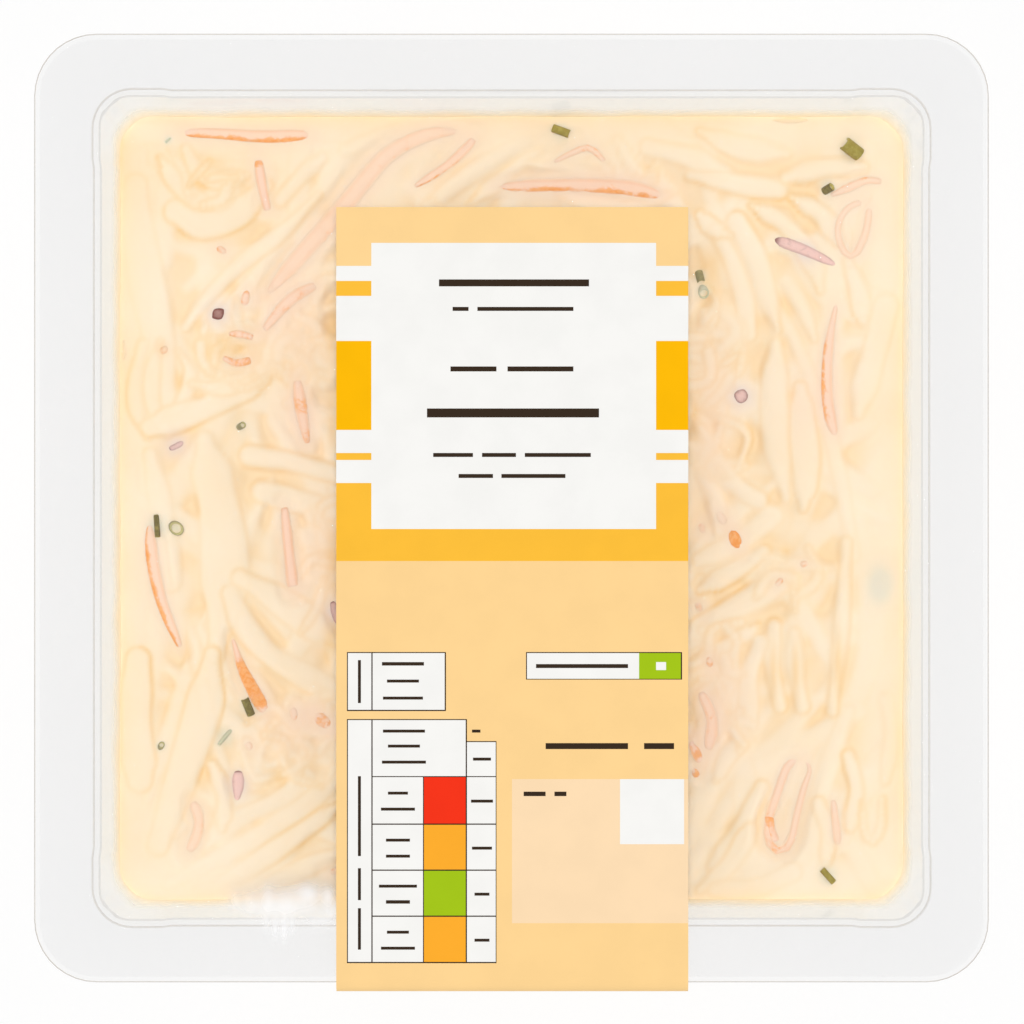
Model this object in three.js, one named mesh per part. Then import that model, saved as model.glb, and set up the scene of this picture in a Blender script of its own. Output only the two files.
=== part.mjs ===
// A square tray of coleslaw, sealed with clear film and held by a paper wrap label.
// Millimetres, +Z up, +X to the right, -Y towards the front of the pack. The origin is on
// the underside of the label, below the middle of the tray.
import * as THREE from 'three';

// ---- driving dimensions -------------------------------------------------------------
// Tray: a thin thermoformed shell with a flat sealing flange.
const TRAY_HEIGHT = 43.0;
const WALL = 0.6;
const FLANGE_LENGTH = 127.0; // along X, over the rolled edge
const FLANGE_DEPTH = 126.2; // along Y
const FLANGE_CORNER = 8.3;
const LIP_DROP = 1.8; // how far the outer edge turns down
const EDGE_ROUND = 0.45;
const OPENING = 111.0; // square mouth inside the flange
const OPENING_CORNER = 5.0;
const STEP_IN = 0.85; // stacking step just below the mouth
const STEP_DROP = 1.6;
const STEP_CORNER = 3.8;
const WALL_DRAFT = THREE.MathUtils.degToRad(16);
const BASE_CORNER = 8.0;
const BASE_FILLET = 5.0; // between the walls and the flat base
const LUG_OUT = 0.3; // the corners of the mouth stand out to keep nested trays apart
const LUG_REACH = 9.0;
const LUG_JOG = 0.5;

// Film: flat over the mouth, welded to the flange and trimmed just inside its edge.
const FILM_THICK = 0.15;
const FILM_INSET = 0.8;

// Label: one strip from the top, over the front flange, down to the base and under it.
const LABEL_WIDTH = 46.8;
const LABEL_THICK = 0.25;
const LABEL_SHIFT_X = 0.1;
const LABEL_REAR_TOP = 40.0; // y of the end on the film
const LABEL_REAR_BASE = 15.0; // y of the end under the base
const LABEL_FRONT = 64.1; // how far forward the inner face of the front bend reaches
const FLANGE_BEND = 1.5;
const BASE_BEND = 5.4;
const BASE_BEND_SLACK = 0.6; // the strip stays flat this far past the start of the fillet

// Coleslaw: filled to below the rim, with bowed shreds showing in its surface.
const HEADSPACE = 9.0;
const SLAW_GAP = 0.3;
const SHRED_COUNT = 95;
const SHRED_LENGTH = [16, 52];
const SHRED_WIDTH = [3.6, 6.4];
const SHRED_LIFT = [0.7, 2.0];
const SHRED_BOW = 4.0;
const SWELL = 0.7; // slow rise and fall of the filling
const EDGE_CALM = 5.0; // the surface levels out this close to the wall

// ---- resolution ------------------------------------------------------------------------
const CORNER_STEPS = 6;
const FILLET_STEPS = 5;
const BEND_STEPS = 9;
const SLAW_GRID = 38;

// ---- derived levels --------------------------------------------------------------------
const BASE_Z = LABEL_THICK;
const TOP_Z = BASE_Z + TRAY_HEIGHT;
const STEP_Z = TOP_Z - STEP_DROP;
const FLOOR_Z = BASE_Z + WALL;
const FILM_TOP_Z = TOP_Z + FILM_THICK;
const FILL_Z = TOP_Z - HEADSPACE;
const QUARTER = Math.PI / 2;

// Half width and corner radius of the inner face of the tapered wall at height z.
function wallHalf(z) {
  return OPENING / 2 - STEP_IN - (STEP_Z - z) * Math.tan(WALL_DRAFT);
}

function wallCorner(z) {
  return THREE.MathUtils.mapLinear(z, BASE_Z, STEP_Z, BASE_CORNER, STEP_CORNER);
}

// ---- levels and skins ------------------------------------------------------------------
// One level of a shell: a rectangle with round corners, anticlockwise from above. A lug moves
// the corners outwards, from LUG_REACH back along both sides.
function roundedLevel({ halfX, halfY = halfX, radius, z, lug = 0 }) {
  const points = [];
  for (let corner = 0; corner < 4; corner += 1) {
    const [ahead, side] = corner % 2 === 0 ? [halfX, halfY] : [halfY, halfX];
    const outline = [[ahead, side - LUG_REACH - LUG_JOG], [ahead + lug, side - LUG_REACH]];
    for (let step = 0; step <= CORNER_STEPS; step += 1) {
      const turn = (QUARTER * step) / CORNER_STEPS;
      outline.push([
        ahead - radius + (radius + lug) * Math.cos(turn),
        side - radius + (radius + lug) * Math.sin(turn),
      ]);
    }
    outline.push([ahead - LUG_REACH, side + lug], [ahead - LUG_REACH - LUG_JOG, side]);
    const cos = [1, 0, -1, 0][corner];
    const sin = [0, 1, 0, -1][corner];
    for (const [u, v] of outline) {
      points.push([u * cos - v * sin, u * sin + v * cos, z]);
    }
  }
  return points;
}

function meshGeometry(points, triangles) {
  const geometry = new THREE.BufferGeometry();
  geometry.setAttribute('position', new THREE.Float32BufferAttribute(points.flat(), 3));
  geometry.setIndex(triangles.flat());
  geometry.computeVertexNormals();
  return geometry;
}

// A closed skin through levels of equal point count, from a flat base to a flat last level.
function skinGeometry(levels) {
  const size = levels[0].length;
  const points = levels.flat();
  const triangles = [];
  for (let row = 0; row + 1 < levels.length; row += 1) {
    for (let i = 0; i < size; i += 1) {
      const next = (i + 1) % size;
      const [a, b] = [row * size + i, row * size + next];
      triangles.push([a, b, b + size], [a, b + size, a + size]);
    }
  }
  const first = points.push([0, 0, levels[0][0][2]]) - 1;
  const last = points.push([0, 0, levels.at(-1)[0][2]]) - 1;
  const top = (levels.length - 1) * size;
  for (let i = 0; i < size; i += 1) {
    const next = (i + 1) % size;
    triangles.push([first, next, i], [last, top + i, top + next]);
  }
  return meshGeometry(points, triangles);
}

// ---- tray ----------------------------------------------------------------------------------
// The round foot of a tapered wall, as [half width, corner radius, z], from the flat upwards.
function footArc(halfAtFloor, floorZ, fillet) {
  const tangentInset = (fillet * (1 - Math.sin(WALL_DRAFT))) / Math.cos(WALL_DRAFT);
  const centre = halfAtFloor - tangentInset;
  const arc = [];
  for (let step = 0; step <= FILLET_STEPS; step += 1) {
    const turn = THREE.MathUtils.lerp(-QUARTER, -WALL_DRAFT, step / FILLET_STEPS);
    const half = centre + fillet * Math.cos(turn);
    const z = floorZ + fillet + fillet * Math.sin(turn);
    const inset = Math.max(0, halfAtFloor - half);
    arc.push([half, wallCorner(z) - inset, z]);
  }
  return arc;
}

function edgeArc(steps = 2) {
  const arc = [];
  for (let step = 0; step <= steps; step += 1) {
    const turn = (QUARTER * step) / steps;
    arc.push([EDGE_ROUND * (1 - Math.cos(turn)), EDGE_ROUND * (1 - Math.sin(turn))]);
  }
  return arc;
}

function flangeLevel(inset, z) {
  return roundedLevel({
    halfX: FLANGE_LENGTH / 2 - inset,
    halfY: FLANGE_DEPTH / 2 - inset,
    radius: FLANGE_CORNER - inset,
    z,
  });
}

function mouthLevel(outset, z) {
  return roundedLevel({
    halfX: OPENING / 2 + outset,
    radius: OPENING_CORNER + outset,
    z,
    lug: LUG_OUT,
  });
}

function squareLevels(arc) {
  return arc.map(([halfX, radius, z]) => roundedLevel({ halfX, radius, z }));
}

function trayGeometry() {
  const skinWidth = WALL / Math.cos(WALL_DRAFT);
  const stepUnderZ = STEP_Z - WALL;
  const outside = [
    ...squareLevels(footArc(wallHalf(BASE_Z) + skinWidth, BASE_Z, BASE_FILLET)),
    roundedLevel({ halfX: wallHalf(stepUnderZ) + skinWidth, radius: STEP_CORNER, z: stepUnderZ }),
    mouthLevel(WALL, stepUnderZ),
    mouthLevel(WALL, TOP_Z - WALL),
    flangeLevel(WALL, TOP_Z - WALL),
    flangeLevel(WALL, TOP_Z - LIP_DROP),
    flangeLevel(0, TOP_Z - LIP_DROP),
  ];
  const rim = [
    ...edgeArc().map(([inset, drop]) => flangeLevel(inset, TOP_Z - drop)),
    ...edgeArc().reverse().map(([outset, drop]) => mouthLevel(outset, TOP_Z - drop)),
  ];
  const inside = [
    mouthLevel(0, STEP_Z),
    roundedLevel({ halfX: wallHalf(STEP_Z), radius: STEP_CORNER, z: STEP_Z, lug: LUG_OUT }),
    ...squareLevels(footArc(wallHalf(FLOOR_Z), FLOOR_Z, BASE_FILLET - WALL).reverse()),
  ];
  return skinGeometry([...outside, ...rim, ...inside]);
}

// ---- film ----------------------------------------------------------------------------------
function filmGeometry() {
  return skinGeometry([flangeLevel(FILM_INSET, TOP_Z), flangeLevel(FILM_INSET, FILM_TOP_Z)]);
}

// ---- coleslaw --------------------------------------------------------------------------------
// A small repeatable generator, so that every build lays the same shreds.
function seededDraw(seed) {
  let state = seed;
  return (low, high) => {
    state = (state * 1664525 + 1013904223) % 4294967296;
    return low + ((high - low) * state) / 4294967296;
  };
}

function laidShreds() {
  const draw = seededDraw(20);
  const reach = wallHalf(FILL_Z);
  const shreds = [];
  for (let i = 0; i < SHRED_COUNT; i += 1) {
    const turn = draw(0, Math.PI);
    shreds.push({
      x: draw(-reach, reach),
      y: draw(-reach, reach),
      cos: Math.cos(turn),
      sin: Math.sin(turn),
      half: draw(...SHRED_LENGTH) / 2,
      radius: draw(...SHRED_WIDTH) / 2,
      lift: draw(...SHRED_LIFT),
      bow: draw(-SHRED_BOW, SHRED_BOW),
    });
  }
  return shreds;
}

// How high one bowed, round-topped shred stands at a point, or zero beside it.
function shredRise(shred, x, y) {
  const along = (x - shred.x) * shred.cos + (y - shred.y) * shred.sin;
  const bowed = shred.bow * (along / shred.half) ** 2;
  const across = (y - shred.y) * shred.cos - (x - shred.x) * shred.sin - bowed;
  const past = Math.max(0, Math.abs(along) - shred.half);
  const apart = Math.hypot(past, across) / shred.radius;
  return apart < 1 ? shred.lift * Math.sqrt(1 - apart * apart) : 0;
}

function surfaceZ(shreds, x, y) {
  const swell = SWELL * Math.sin(x / 17 + 0.8) * Math.cos(y / 21 - 0.4);
  const rise = shreds.reduce((highest, shred) => Math.max(highest, shredRise(shred, x, y)), 0);
  const inward = wallHalf(FILL_Z) - Math.max(Math.abs(x), Math.abs(y));
  const calm = THREE.MathUtils.smoothstep(inward, SLAW_GAP, EDGE_CALM);
  return FILL_Z + (swell + rise) * calm;
}

// Maps the square -1..1 onto a rounded square, with the round corners taken up evenly.
function roundedPoint(u, v, half, radius) {
  const flat = half - radius;
  const cx = (Math.abs(u) * half - flat) / radius;
  const cy = (Math.abs(v) * half - flat) / radius;
  if (cx <= 0 || cy <= 0) {
    return [u * half, v * half];
  }
  return [
    Math.sign(u) * (flat + radius * cx * Math.sqrt(1 - (cy * cy) / 2)),
    Math.sign(v) * (flat + radius * cy * Math.sqrt(1 - (cx * cx) / 2)),
  ];
}

function rimSteps(count) {
  const steps = [];
  for (let i = 0; i < count; i += 1) {
    steps.push([1, (2 * i) / count - 1]);
  }
  for (let i = 0; i < count; i += 1) {
    steps.push([1 - (2 * i) / count, 1]);
  }
  return [...steps, ...steps.map(([u, v]) => [-u, -v])];
}

function slawGeometry() {
  const shreds = laidShreds();
  const points = [];
  const triangles = [];
  const place = (u, v, half, radius, z) => points.push([...roundedPoint(u, v, half, radius), z]) - 1;

  // Surface: a grid of heights inside the rounded outline.
  const half = wallHalf(FILL_Z) - SLAW_GAP;
  const radius = wallCorner(FILL_Z) - SLAW_GAP;
  const surface = [];
  for (let row = 0; row <= SLAW_GRID; row += 1) {
    for (let column = 0; column <= SLAW_GRID; column += 1) {
      const u = (2 * column) / SLAW_GRID - 1;
      const v = (2 * row) / SLAW_GRID - 1;
      const [x, y] = roundedPoint(u, v, half, radius);
      surface.push(points.push([x, y, surfaceZ(shreds, x, y)]) - 1);
    }
  }
  for (let row = 0; row < SLAW_GRID; row += 1) {
    for (let column = 0; column < SLAW_GRID; column += 1) {
      const a = surface[row * (SLAW_GRID + 1) + column];
      const b = a + SLAW_GRID + 1;
      triangles.push([a, a + 1, b + 1], [a, b + 1, b]);
    }
  }

  // Sides and base: rings that follow the inner wall and its foot, a gap inside them.
  const steps = rimSteps(SLAW_GRID);
  const floor = FLOOR_Z + SLAW_GAP;
  const foot = footArc(wallHalf(floor) - SLAW_GAP, floor, BASE_FILLET - WALL);
  const topRing = steps.map(([u, v]) => {
    const column = Math.round(((u + 1) * SLAW_GRID) / 2);
    const row = Math.round(((v + 1) * SLAW_GRID) / 2);
    return surface[row * (SLAW_GRID + 1) + column];
  });
  const rings = foot.map(([ringHalf, ringRadius, z]) =>
    steps.map(([u, v]) => place(u, v, ringHalf, ringRadius, z)));
  rings.push(topRing);
  for (let ring = 0; ring + 1 < rings.length; ring += 1) {
    steps.forEach((_, i) => {
      const next = (i + 1) % steps.length;
      const [lower, upper] = [rings[ring], rings[ring + 1]];
      triangles.push([lower[i], lower[next], upper[next]], [lower[i], upper[next], upper[i]]);
    });
  }
  const middle = points.push([0, 0, floor]) - 1;
  steps.forEach((_, i) => {
    triangles.push([middle, rings[0][(i + 1) % steps.length], rings[0][i]]);
  });
  return meshGeometry(points, triangles);
}

// ---- label -------------------------------------------------------------------------------------
// The face of the strip at `offset` outside the film and the tray, in the YZ plane: flat on the
// film, round the flange, straight down to the base, round its foot and flat below it.
function labelFace(offset) {
  const footInset = (BASE_FILLET * (1 - Math.sin(WALL_DRAFT))) / Math.cos(WALL_DRAFT);
  const footY = wallHalf(BASE_Z) + WALL / Math.cos(WALL_DRAFT) - footInset;
  const upper = new THREE.Vector2(FLANGE_BEND - LABEL_FRONT, FILM_TOP_Z - FLANGE_BEND);
  const lower = new THREE.Vector2(-footY - BASE_BEND_SLACK, BASE_Z + BASE_BEND);
  const between = lower.clone().sub(upper);
  const swing = Math.acos((FLANGE_BEND - BASE_BEND) / between.length());
  const tangent = between.angle() - swing + 2 * Math.PI;
  const points = [new THREE.Vector2(LABEL_REAR_TOP, FILM_TOP_Z + offset)];
  const addBend = (centre, radius, from, to) => {
    for (let step = 0; step <= BEND_STEPS; step += 1) {
      const turn = THREE.MathUtils.lerp(from, to, step / BEND_STEPS);
      const spoke = new THREE.Vector2(Math.cos(turn), Math.sin(turn));
      points.push(centre.clone().addScaledVector(spoke, radius + offset));
    }
  };
  const outward = tangent % (2 * Math.PI);
  addBend(upper, FLANGE_BEND, QUARTER, outward);
  addBend(lower, BASE_BEND, outward, 3 * QUARTER);
  points.push(new THREE.Vector2(LABEL_REAR_BASE, BASE_Z - offset));
  return points;
}

function labelGeometry() {
  const profile = [...labelFace(0), ...labelFace(LABEL_THICK).reverse()];
  const outline = new THREE.Shape(profile);
  const strip = new THREE.ExtrudeGeometry(outline, { depth: LABEL_WIDTH, bevelEnabled: false });
  const turned = new THREE.Matrix4().makeBasis(
    new THREE.Vector3(0, 1, 0),
    new THREE.Vector3(0, 0, 1),
    new THREE.Vector3(1, 0, 0),
  );
  strip.applyMatrix4(turned);
  strip.translate(LABEL_SHIFT_X - LABEL_WIDTH / 2, 0, 0);
  return strip;
}

// ---- assembly ----------------------------------------------------------------------------------
function addPiece(group, name, geometry, finish) {
  const mesh = new THREE.Mesh(geometry, new THREE.MeshStandardMaterial(finish));
  mesh.name = name;
  group.add(mesh);
}

const pack = new THREE.Group();
addPiece(pack, 'tray', trayGeometry(), {
  color: 0xf0f0f0,
  roughness: 0.12,
  metalness: 0,
  transparent: true,
  opacity: 0.45,
});
addPiece(pack, 'film', filmGeometry(), {
  color: 0xf8f8f6,
  roughness: 0.08,
  metalness: 0,
  transparent: true,
  opacity: 0.15,
});
addPiece(pack, 'slaw', slawGeometry(), { color: 0xfbe3c1, roughness: 0.35, metalness: 0 });
addPiece(pack, 'label', labelGeometry(), { color: 0xfed797, roughness: 0.5, metalness: 0 });

export default pack;
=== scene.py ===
"""Coleslaw in a sealed square tray: every finished piece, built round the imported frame.

Metres, +Z up, +X to the right of the pack and -Y towards its front. The tray is a thin clear
shell with a film welded over it and a paper label wrapped over the front. Inside, a core of
dressing carries shreds of cabbage and carrot, cut chives and pieces of red onion. Shreds are
laid one after another on a field of heights, and the dressing then settles between them.
"""
import math
from dataclasses import dataclass

import bmesh
import bpy
import numpy as np
from mathutils import Matrix, Vector


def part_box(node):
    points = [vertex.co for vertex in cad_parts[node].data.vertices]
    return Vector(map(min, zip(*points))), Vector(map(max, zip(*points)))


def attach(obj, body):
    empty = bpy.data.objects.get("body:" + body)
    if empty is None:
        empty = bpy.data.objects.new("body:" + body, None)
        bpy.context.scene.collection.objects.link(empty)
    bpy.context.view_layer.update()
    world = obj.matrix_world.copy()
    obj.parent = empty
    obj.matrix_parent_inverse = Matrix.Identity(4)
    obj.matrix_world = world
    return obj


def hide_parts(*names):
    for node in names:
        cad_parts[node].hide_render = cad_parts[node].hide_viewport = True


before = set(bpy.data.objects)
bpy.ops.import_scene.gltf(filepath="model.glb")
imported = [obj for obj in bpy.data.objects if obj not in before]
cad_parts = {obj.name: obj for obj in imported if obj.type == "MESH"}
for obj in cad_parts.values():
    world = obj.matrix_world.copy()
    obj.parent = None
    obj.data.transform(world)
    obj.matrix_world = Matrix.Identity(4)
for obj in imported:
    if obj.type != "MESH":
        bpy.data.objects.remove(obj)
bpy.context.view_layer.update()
bpy.ops.object.select_all(action="DESELECT")
random = np.random.default_rng(11)

MM = 0.001

# ---- tray ----
tray_low, tray_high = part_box("tray")
BASE = tray_low.z
TOP = tray_high.z
FLANGE_X = tray_high.x
FLANGE_Y = tray_high.y
FLANGE_CORNER = 8.3 * MM
WALL = 0.6 * MM
LIP_DROP = 1.8 * MM
EDGE_ROUND = 0.45 * MM
OPENING = 55.5 * MM  # half the width of the mouth
OPENING_CORNER = 5.0 * MM
STEP_IN = 0.85 * MM
STEP_DROP = 1.6 * MM
STEP_CORNER = 3.8 * MM
DRAFT = math.radians(16)
BASE_CORNER = 8.0 * MM
BASE_FILLET = 5.0 * MM
LUG_OUT = 0.18 * MM
LUG_REACH = 9.0 * MM
LUG_JOG = 1.3 * MM
STEP = TOP - STEP_DROP
FLOOR = BASE + WALL
FILL = TOP - 9.0 * MM

# ---- top view ----
# Places on the filling and the label are given in pixels of a square view from above, in
# which the flange is FLANGE_PIXELS long and the tray's middle lies at TRAY_MIDDLE.
VIEW_SIZE = 1024
FLANGE_PIXELS = 955
TRAY_MIDDLE = (511.5, 508.0)
EYE_HEIGHT = 0.9  # above the flange
SENSOR = 36.0 * MM
PIXEL = 2 * FLANGE_X / FLANGE_PIXELS
EYE_X = (VIEW_SIZE / 2 - TRAY_MIDDLE[0]) * PIXEL
EYE_Y = (TRAY_MIDDLE[1] - VIEW_SIZE / 2) * PIXEL


def below_view(x, y, level=TOP):
    """The point at a level that the view from above shows at pixel x, y."""
    scale = PIXEL * (EYE_HEIGHT + TOP - level) / EYE_HEIGHT
    return np.array([EYE_X + (x - VIEW_SIZE / 2) * scale, EYE_Y - (y - VIEW_SIZE / 2) * scale])


def colour(red, green, blue, light=1.0, veil=0.0):
    """The base colour that shows as these 0-255 display values where a white surface would
    show `light` times white, under a sheen of `veil`."""
    display = np.array([red, green, blue]) / 255
    linear = np.where(display < 0.04045, display / 12.92, ((display + 0.055) / 1.055) ** 2.4)
    return (*np.clip((linear - veil) / light, 0, 1), 1.0)


# ---- shader trees ----
class Link:
    """The value of a socket. Arithmetic on it adds Math nodes to its tree."""

    def __init__(self, tree, socket):
        self.tree = tree
        self.socket = socket

    def maths(self, operation, *values):
        return self.tree.add("ShaderNodeMath", {"operation": operation}, dict(enumerate(values)))

    def __add__(self, other):
        return self.maths("ADD", self, other)

    def __mul__(self, other):
        return self.maths("MULTIPLY", self, other)

    def __sub__(self, other):
        return self.maths("SUBTRACT", self, other)

    def __rsub__(self, other):
        return self.maths("SUBTRACT", other, self)

    __radd__ = __add__
    __rmul__ = __mul__

    def clamped(self):
        return self.tree.add("ShaderNodeClamp", {}, {"Value": self})

    def ramped(self, low, high):
        """0 at low, 1 at high and smooth between."""
        inputs = {"Value": self, "From Min": low, "From Max": high}
        return self.tree.add("ShaderNodeMapRange", {"interpolation_type": "SMOOTHSTEP"}, inputs)

    def between(self, begin, full, fading, end):
        """0 up to begin, 1 from full to fading and 0 again from end."""
        return self.ramped(begin, full) * self.ramped(end, fading)


class Finish:
    """A material, or the world, and the nodes that make it."""

    def __init__(self, name, owner=None):
        self.material = owner or bpy.data.materials.new(name)
        self.material.use_nodes = True
        self.nodes = self.material.node_tree.nodes
        self.nodes.clear()
        self.place = None

    def add(self, kind, settings, inputs, output=0):
        node = self.nodes.new(kind)
        for name, value in settings.items():
            setattr(node, name, value)
        for name, value in inputs.items():
            if isinstance(value, Link):
                self.material.node_tree.links.new(value.socket, node.inputs[name])
            else:
                node.inputs[name].default_value = value
        return Link(self, node.outputs[output]) if node.outputs else None

    def position(self):
        if self.place is None:
            self.place = self.add("ShaderNodeTexCoord", {}, {}, "Object")
        return self.place

    def noise(self, size, detail=2.0, distortion=0.0):
        """Noise from 0 to 1 whose lumps are about `size` metres across."""
        return self.add("ShaderNodeTexNoise", {}, {
            "Vector": self.position(), "Scale": 1 / size,
            "Detail": detail, "Distortion": distortion,
        }, "Fac")

    def attribute(self, name):
        return self.add("ShaderNodeAttribute", {"attribute_name": name}, {}, "Fac")

    def mix(self, factor, first, second):
        """Blends two colours. Sockets go by index, as their names repeat for each data type."""
        sockets = {0: factor, 6: first, 7: second}
        return self.add("ShaderNodeMix", {"data_type": "RGBA"}, sockets, 2)

    def bump(self, height, strength, distance):
        inputs = {"Height": height, "Strength": strength, "Distance": distance}
        return self.add("ShaderNodeBump", {}, inputs)

    def blend(self, share, first, second):
        return self.add("ShaderNodeMixShader", {}, {0: share, 1: first, 2: second})

    def surface(self, shader):
        self.add("ShaderNodeOutputMaterial", {}, {"Surface": shader})
        return self.material

    def height(self, vector):
        return self.add("ShaderNodeSeparateXYZ", {}, {"Vector": vector}, "Z")

    def principled(self, **inputs):
        named = {name.replace("_", " "): value for name, value in inputs.items()}
        return self.add("ShaderNodeBsdfPrincipled", {"subsurface_method": "BURLEY"}, named)


# ---- finishes ----
PAPER_LIGHT = 1.22  # how bright white paper and white food show under this light
FOOD_LIGHT = 0.98
PAPER_SHEEN = 0.006  # what gloss adds to them
FILM_SHEEN = 0.04
BLACK = (0.0, 0.0, 0.0, 1.0)
WHITE = (1.0, 1.0, 1.0, 1.0)


def food(red, green, blue):
    """A food colour from how it shows through the film."""
    return colour(red, green, blue, FOOD_LIGHT, FILM_SHEEN)


CREAM = food(254, 237, 211)
# Painted shade: the warmer, darker colour of the filling in creases and hollows.
CREASE_SHADE = food(247, 207, 143)
BLUSH = food(253, 221, 196)
CARROT_COATED = food(253, 216, 192)
CARROT_BARE = food(249, 164, 90)
CARROT_PALE = food(252, 184, 124)
CARROT_EDGE = food(250, 194, 148)
HERB_HALO = food(222, 224, 206)
ONION_HALO = food(236, 218, 214)
CHIVE_SKIN = food(164, 146, 44)
CHIVE_CUT = food(198, 186, 112)
CHIVE_DARK = food(88, 78, 34)
ONION_FLESH = food(243, 205, 195)
ONION_SKIN = food(136, 88, 80)
FLESH_SCATTER = (1.0, 0.62, 0.35)
FLESH_DEPTH = 1.2 * MM
FLESH_SHARE = 0.35
WATERY = 1.33  # refraction
MILKY = colour(245, 245, 246)
SMEARED = colour(252, 234, 200)
# Painted glow of dressing that clings to the wall.
SMEAR_GLOW = colour(112, 96, 60)
# Painted reflection of the filling on the wall inside the mouth.
WALL_REFLECTED_FILLING = colour(250, 244, 207)
# Painted shade: grey of clear plastic at a glance and at its rounded edges.
EDGE_SHADE_GREY = colour(166, 152, 130)


def soft_food(finish, base, roughness, normal, depth=FLESH_DEPTH):
    """A moist, slightly translucent surface."""
    return finish.surface(finish.principled(
        Base_Color=base,
        Roughness=roughness,
        Subsurface_Weight=FLESH_SHARE,
        Subsurface_Radius=FLESH_SCATTER,
        Subsurface_Scale=depth,
        IOR=WATERY,
        Normal=normal,
    ))


def dressed(finish, crease_shade_and_tone):
    """Cream that takes a painted crease shade in creases and hollows, with the colour of carrot,
    chives and onion nearby; the pink also paints the label's shade beside it, and the green and
    lilac a reflection on the film at one spot.
    """
    base = finish.mix(crease_shade_and_tone.clamped(), CREAM, CREASE_SHADE)
    base = finish.mix(finish.attribute("pink") * 0.8, base, BLUSH)
    base = finish.mix(finish.attribute("green") * 0.6, base, HERB_HALO)
    return finish.mix(finish.attribute("lilac") * 0.7, base, ONION_HALO)


WARMTH_DRIFT = 0.35


def dressing_finish():
    finish = Finish("dressing")
    drift = finish.noise(11 * MM, 3.0)
    specks = finish.noise(0.9 * MM, 3.0)
    # Painted crease shade, with a random drift of tone.
    base = dressed(finish, finish.attribute("crease_shade_and_tone") + (drift - 0.5) * WARMTH_DRIFT)
    roughness = 0.44 + finish.noise(4 * MM) * 0.14
    return soft_food(finish, base, roughness, finish.bump(specks, 0.1, 0.1 * MM))


def cabbage_finish():
    finish = Finish("cabbage")
    drift = finish.noise(9 * MM, 3.0)
    ribs = finish.noise(1.6 * MM, 2.0, 0.6)
    # Painted crease shade, plus a random tone for each shred.
    crease_shade_and_tone = finish.attribute("crease_shade_and_tone") + finish.attribute("shade") * 0.5
    base = dressed(finish, crease_shade_and_tone + (drift - 0.5) * WARMTH_DRIFT)
    return soft_food(finish, base, 0.4 + drift * 0.14, finish.bump(ribs, 0.15, 0.12 * MM))


def carrot_finish():
    """Carrot under dressing, pale with drawn edges, that shows bare in rough patches and melts
    into the dressing where its sides dip into it."""
    finish = Finish("carrot")
    grain = finish.noise(0.55 * MM, 4.0, 0.5)
    patches = finish.noise(2.6 * MM, 3.0)
    across = finish.attribute("across")
    strength = finish.attribute("strength")
    drawn = across.between(0.15, 0.4, 0.42, 0.64)
    melted = across.ramped(0.64, 0.28)
    # The dressing's coat on carrot takes the painted crease shade too.
    coat = dressed(finish, finish.attribute("crease_shade_and_tone"))
    coated = finish.mix(strength * melted, coat, CARROT_COATED)
    coated = finish.mix(strength * drawn * (0.2 + patches * 0.6), coated, CARROT_EDGE)
    rough_bare = finish.attribute("bare") + (patches - 0.5) * 1.9 + (grain - 0.5) * 1.5
    shown = rough_bare.ramped(0.35, 1.1) * across.ramped(0.66, 0.46)
    bare = finish.mix(grain.ramped(0.35, 0.65), CARROT_BARE, CARROT_PALE)
    base = finish.mix(shown, coated, bare)
    return soft_food(finish, base, 0.42 + patches * 0.16, finish.bump(grain, 0.2, 0.1 * MM))


def chive_finish():
    finish = Finish("chive")
    streaks = finish.noise(0.5 * MM, 3.0)
    skin = finish.mix(finish.attribute("dark"), CHIVE_SKIN, CHIVE_DARK)
    base = finish.mix(finish.attribute("cut"), skin, CHIVE_CUT)
    base = finish.mix(streaks.ramped(0.4, 0.7) * 0.35, base, CHIVE_CUT)
    base = finish.mix(finish.attribute("sunk"), base, HERB_HALO)
    normal = finish.bump(streaks, 0.2, 0.06 * MM)
    return soft_food(finish, base, 0.4 + streaks * 0.2, normal, 0.3 * MM)


def onion_finish():
    finish = Finish("onion")
    layers = finish.noise(0.8 * MM, 3.0, 0.5)
    base = finish.mix(finish.attribute("edge"), ONION_FLESH, ONION_SKIN)
    base = finish.mix(layers.ramped(0.5, 0.75) * 0.2, base, ONION_SKIN)
    base = finish.mix(finish.attribute("sunk"), base, ONION_HALO)
    normal = finish.bump(layers, 0.15, 0.06 * MM)
    return soft_food(finish, base, 0.36 + layers * 0.15, normal, 0.5 * MM)


def clinging_dressing(finish, tone):
    """The wall's colour, glow, whiteness and roughness: some dressing clings above the filling and
    glows with painted light, the wall inside the mouth takes a painted reflection of the filling,
    and the rounded mouth and the edge of its step show as faint grey lines of painted shade."""
    level = finish.height(finish.position())
    # Painted reflection of the filling below the step.
    tone = finish.mix(level.ramped(STEP + 0.2 * MM, STEP - 0.2 * MM), tone, WALL_REFLECTED_FILLING)
    ragged = level + (finish.noise(6 * MM, 0.0) - 0.5) * (1.6 * MM)
    clinging = ragged.ramped(FILL + 4.2 * MM, FILL - 0.6 * MM)
    tone = finish.mix(clinging, tone, SMEARED)
    # Painted glow where dressing clings.
    glow = finish.mix(clinging, BLACK, SMEAR_GLOW)
    # Painted shade: grey lines at the rounded mouth and the edge of the step.
    rounded = level.between(TOP - 0.6 * MM, TOP - 0.45 * MM, TOP - 0.16 * MM, TOP - 0.04 * MM)
    ledge = level.between(STEP - 0.3 * MM, STEP - 0.2 * MM, STEP - 0.08 * MM, STEP - 0.02 * MM)
    edges = rounded * 0.15 + ledge * 0.11
    tone = finish.mix(edges.ramped(0.0, 0.08), tone, EDGE_SHADE_GREY)
    rough = clinging * 0.5 + finish.noise(9 * MM, 0.0) * 0.04
    return tone, glow, clinging * 0.66 + edges, rough


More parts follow.
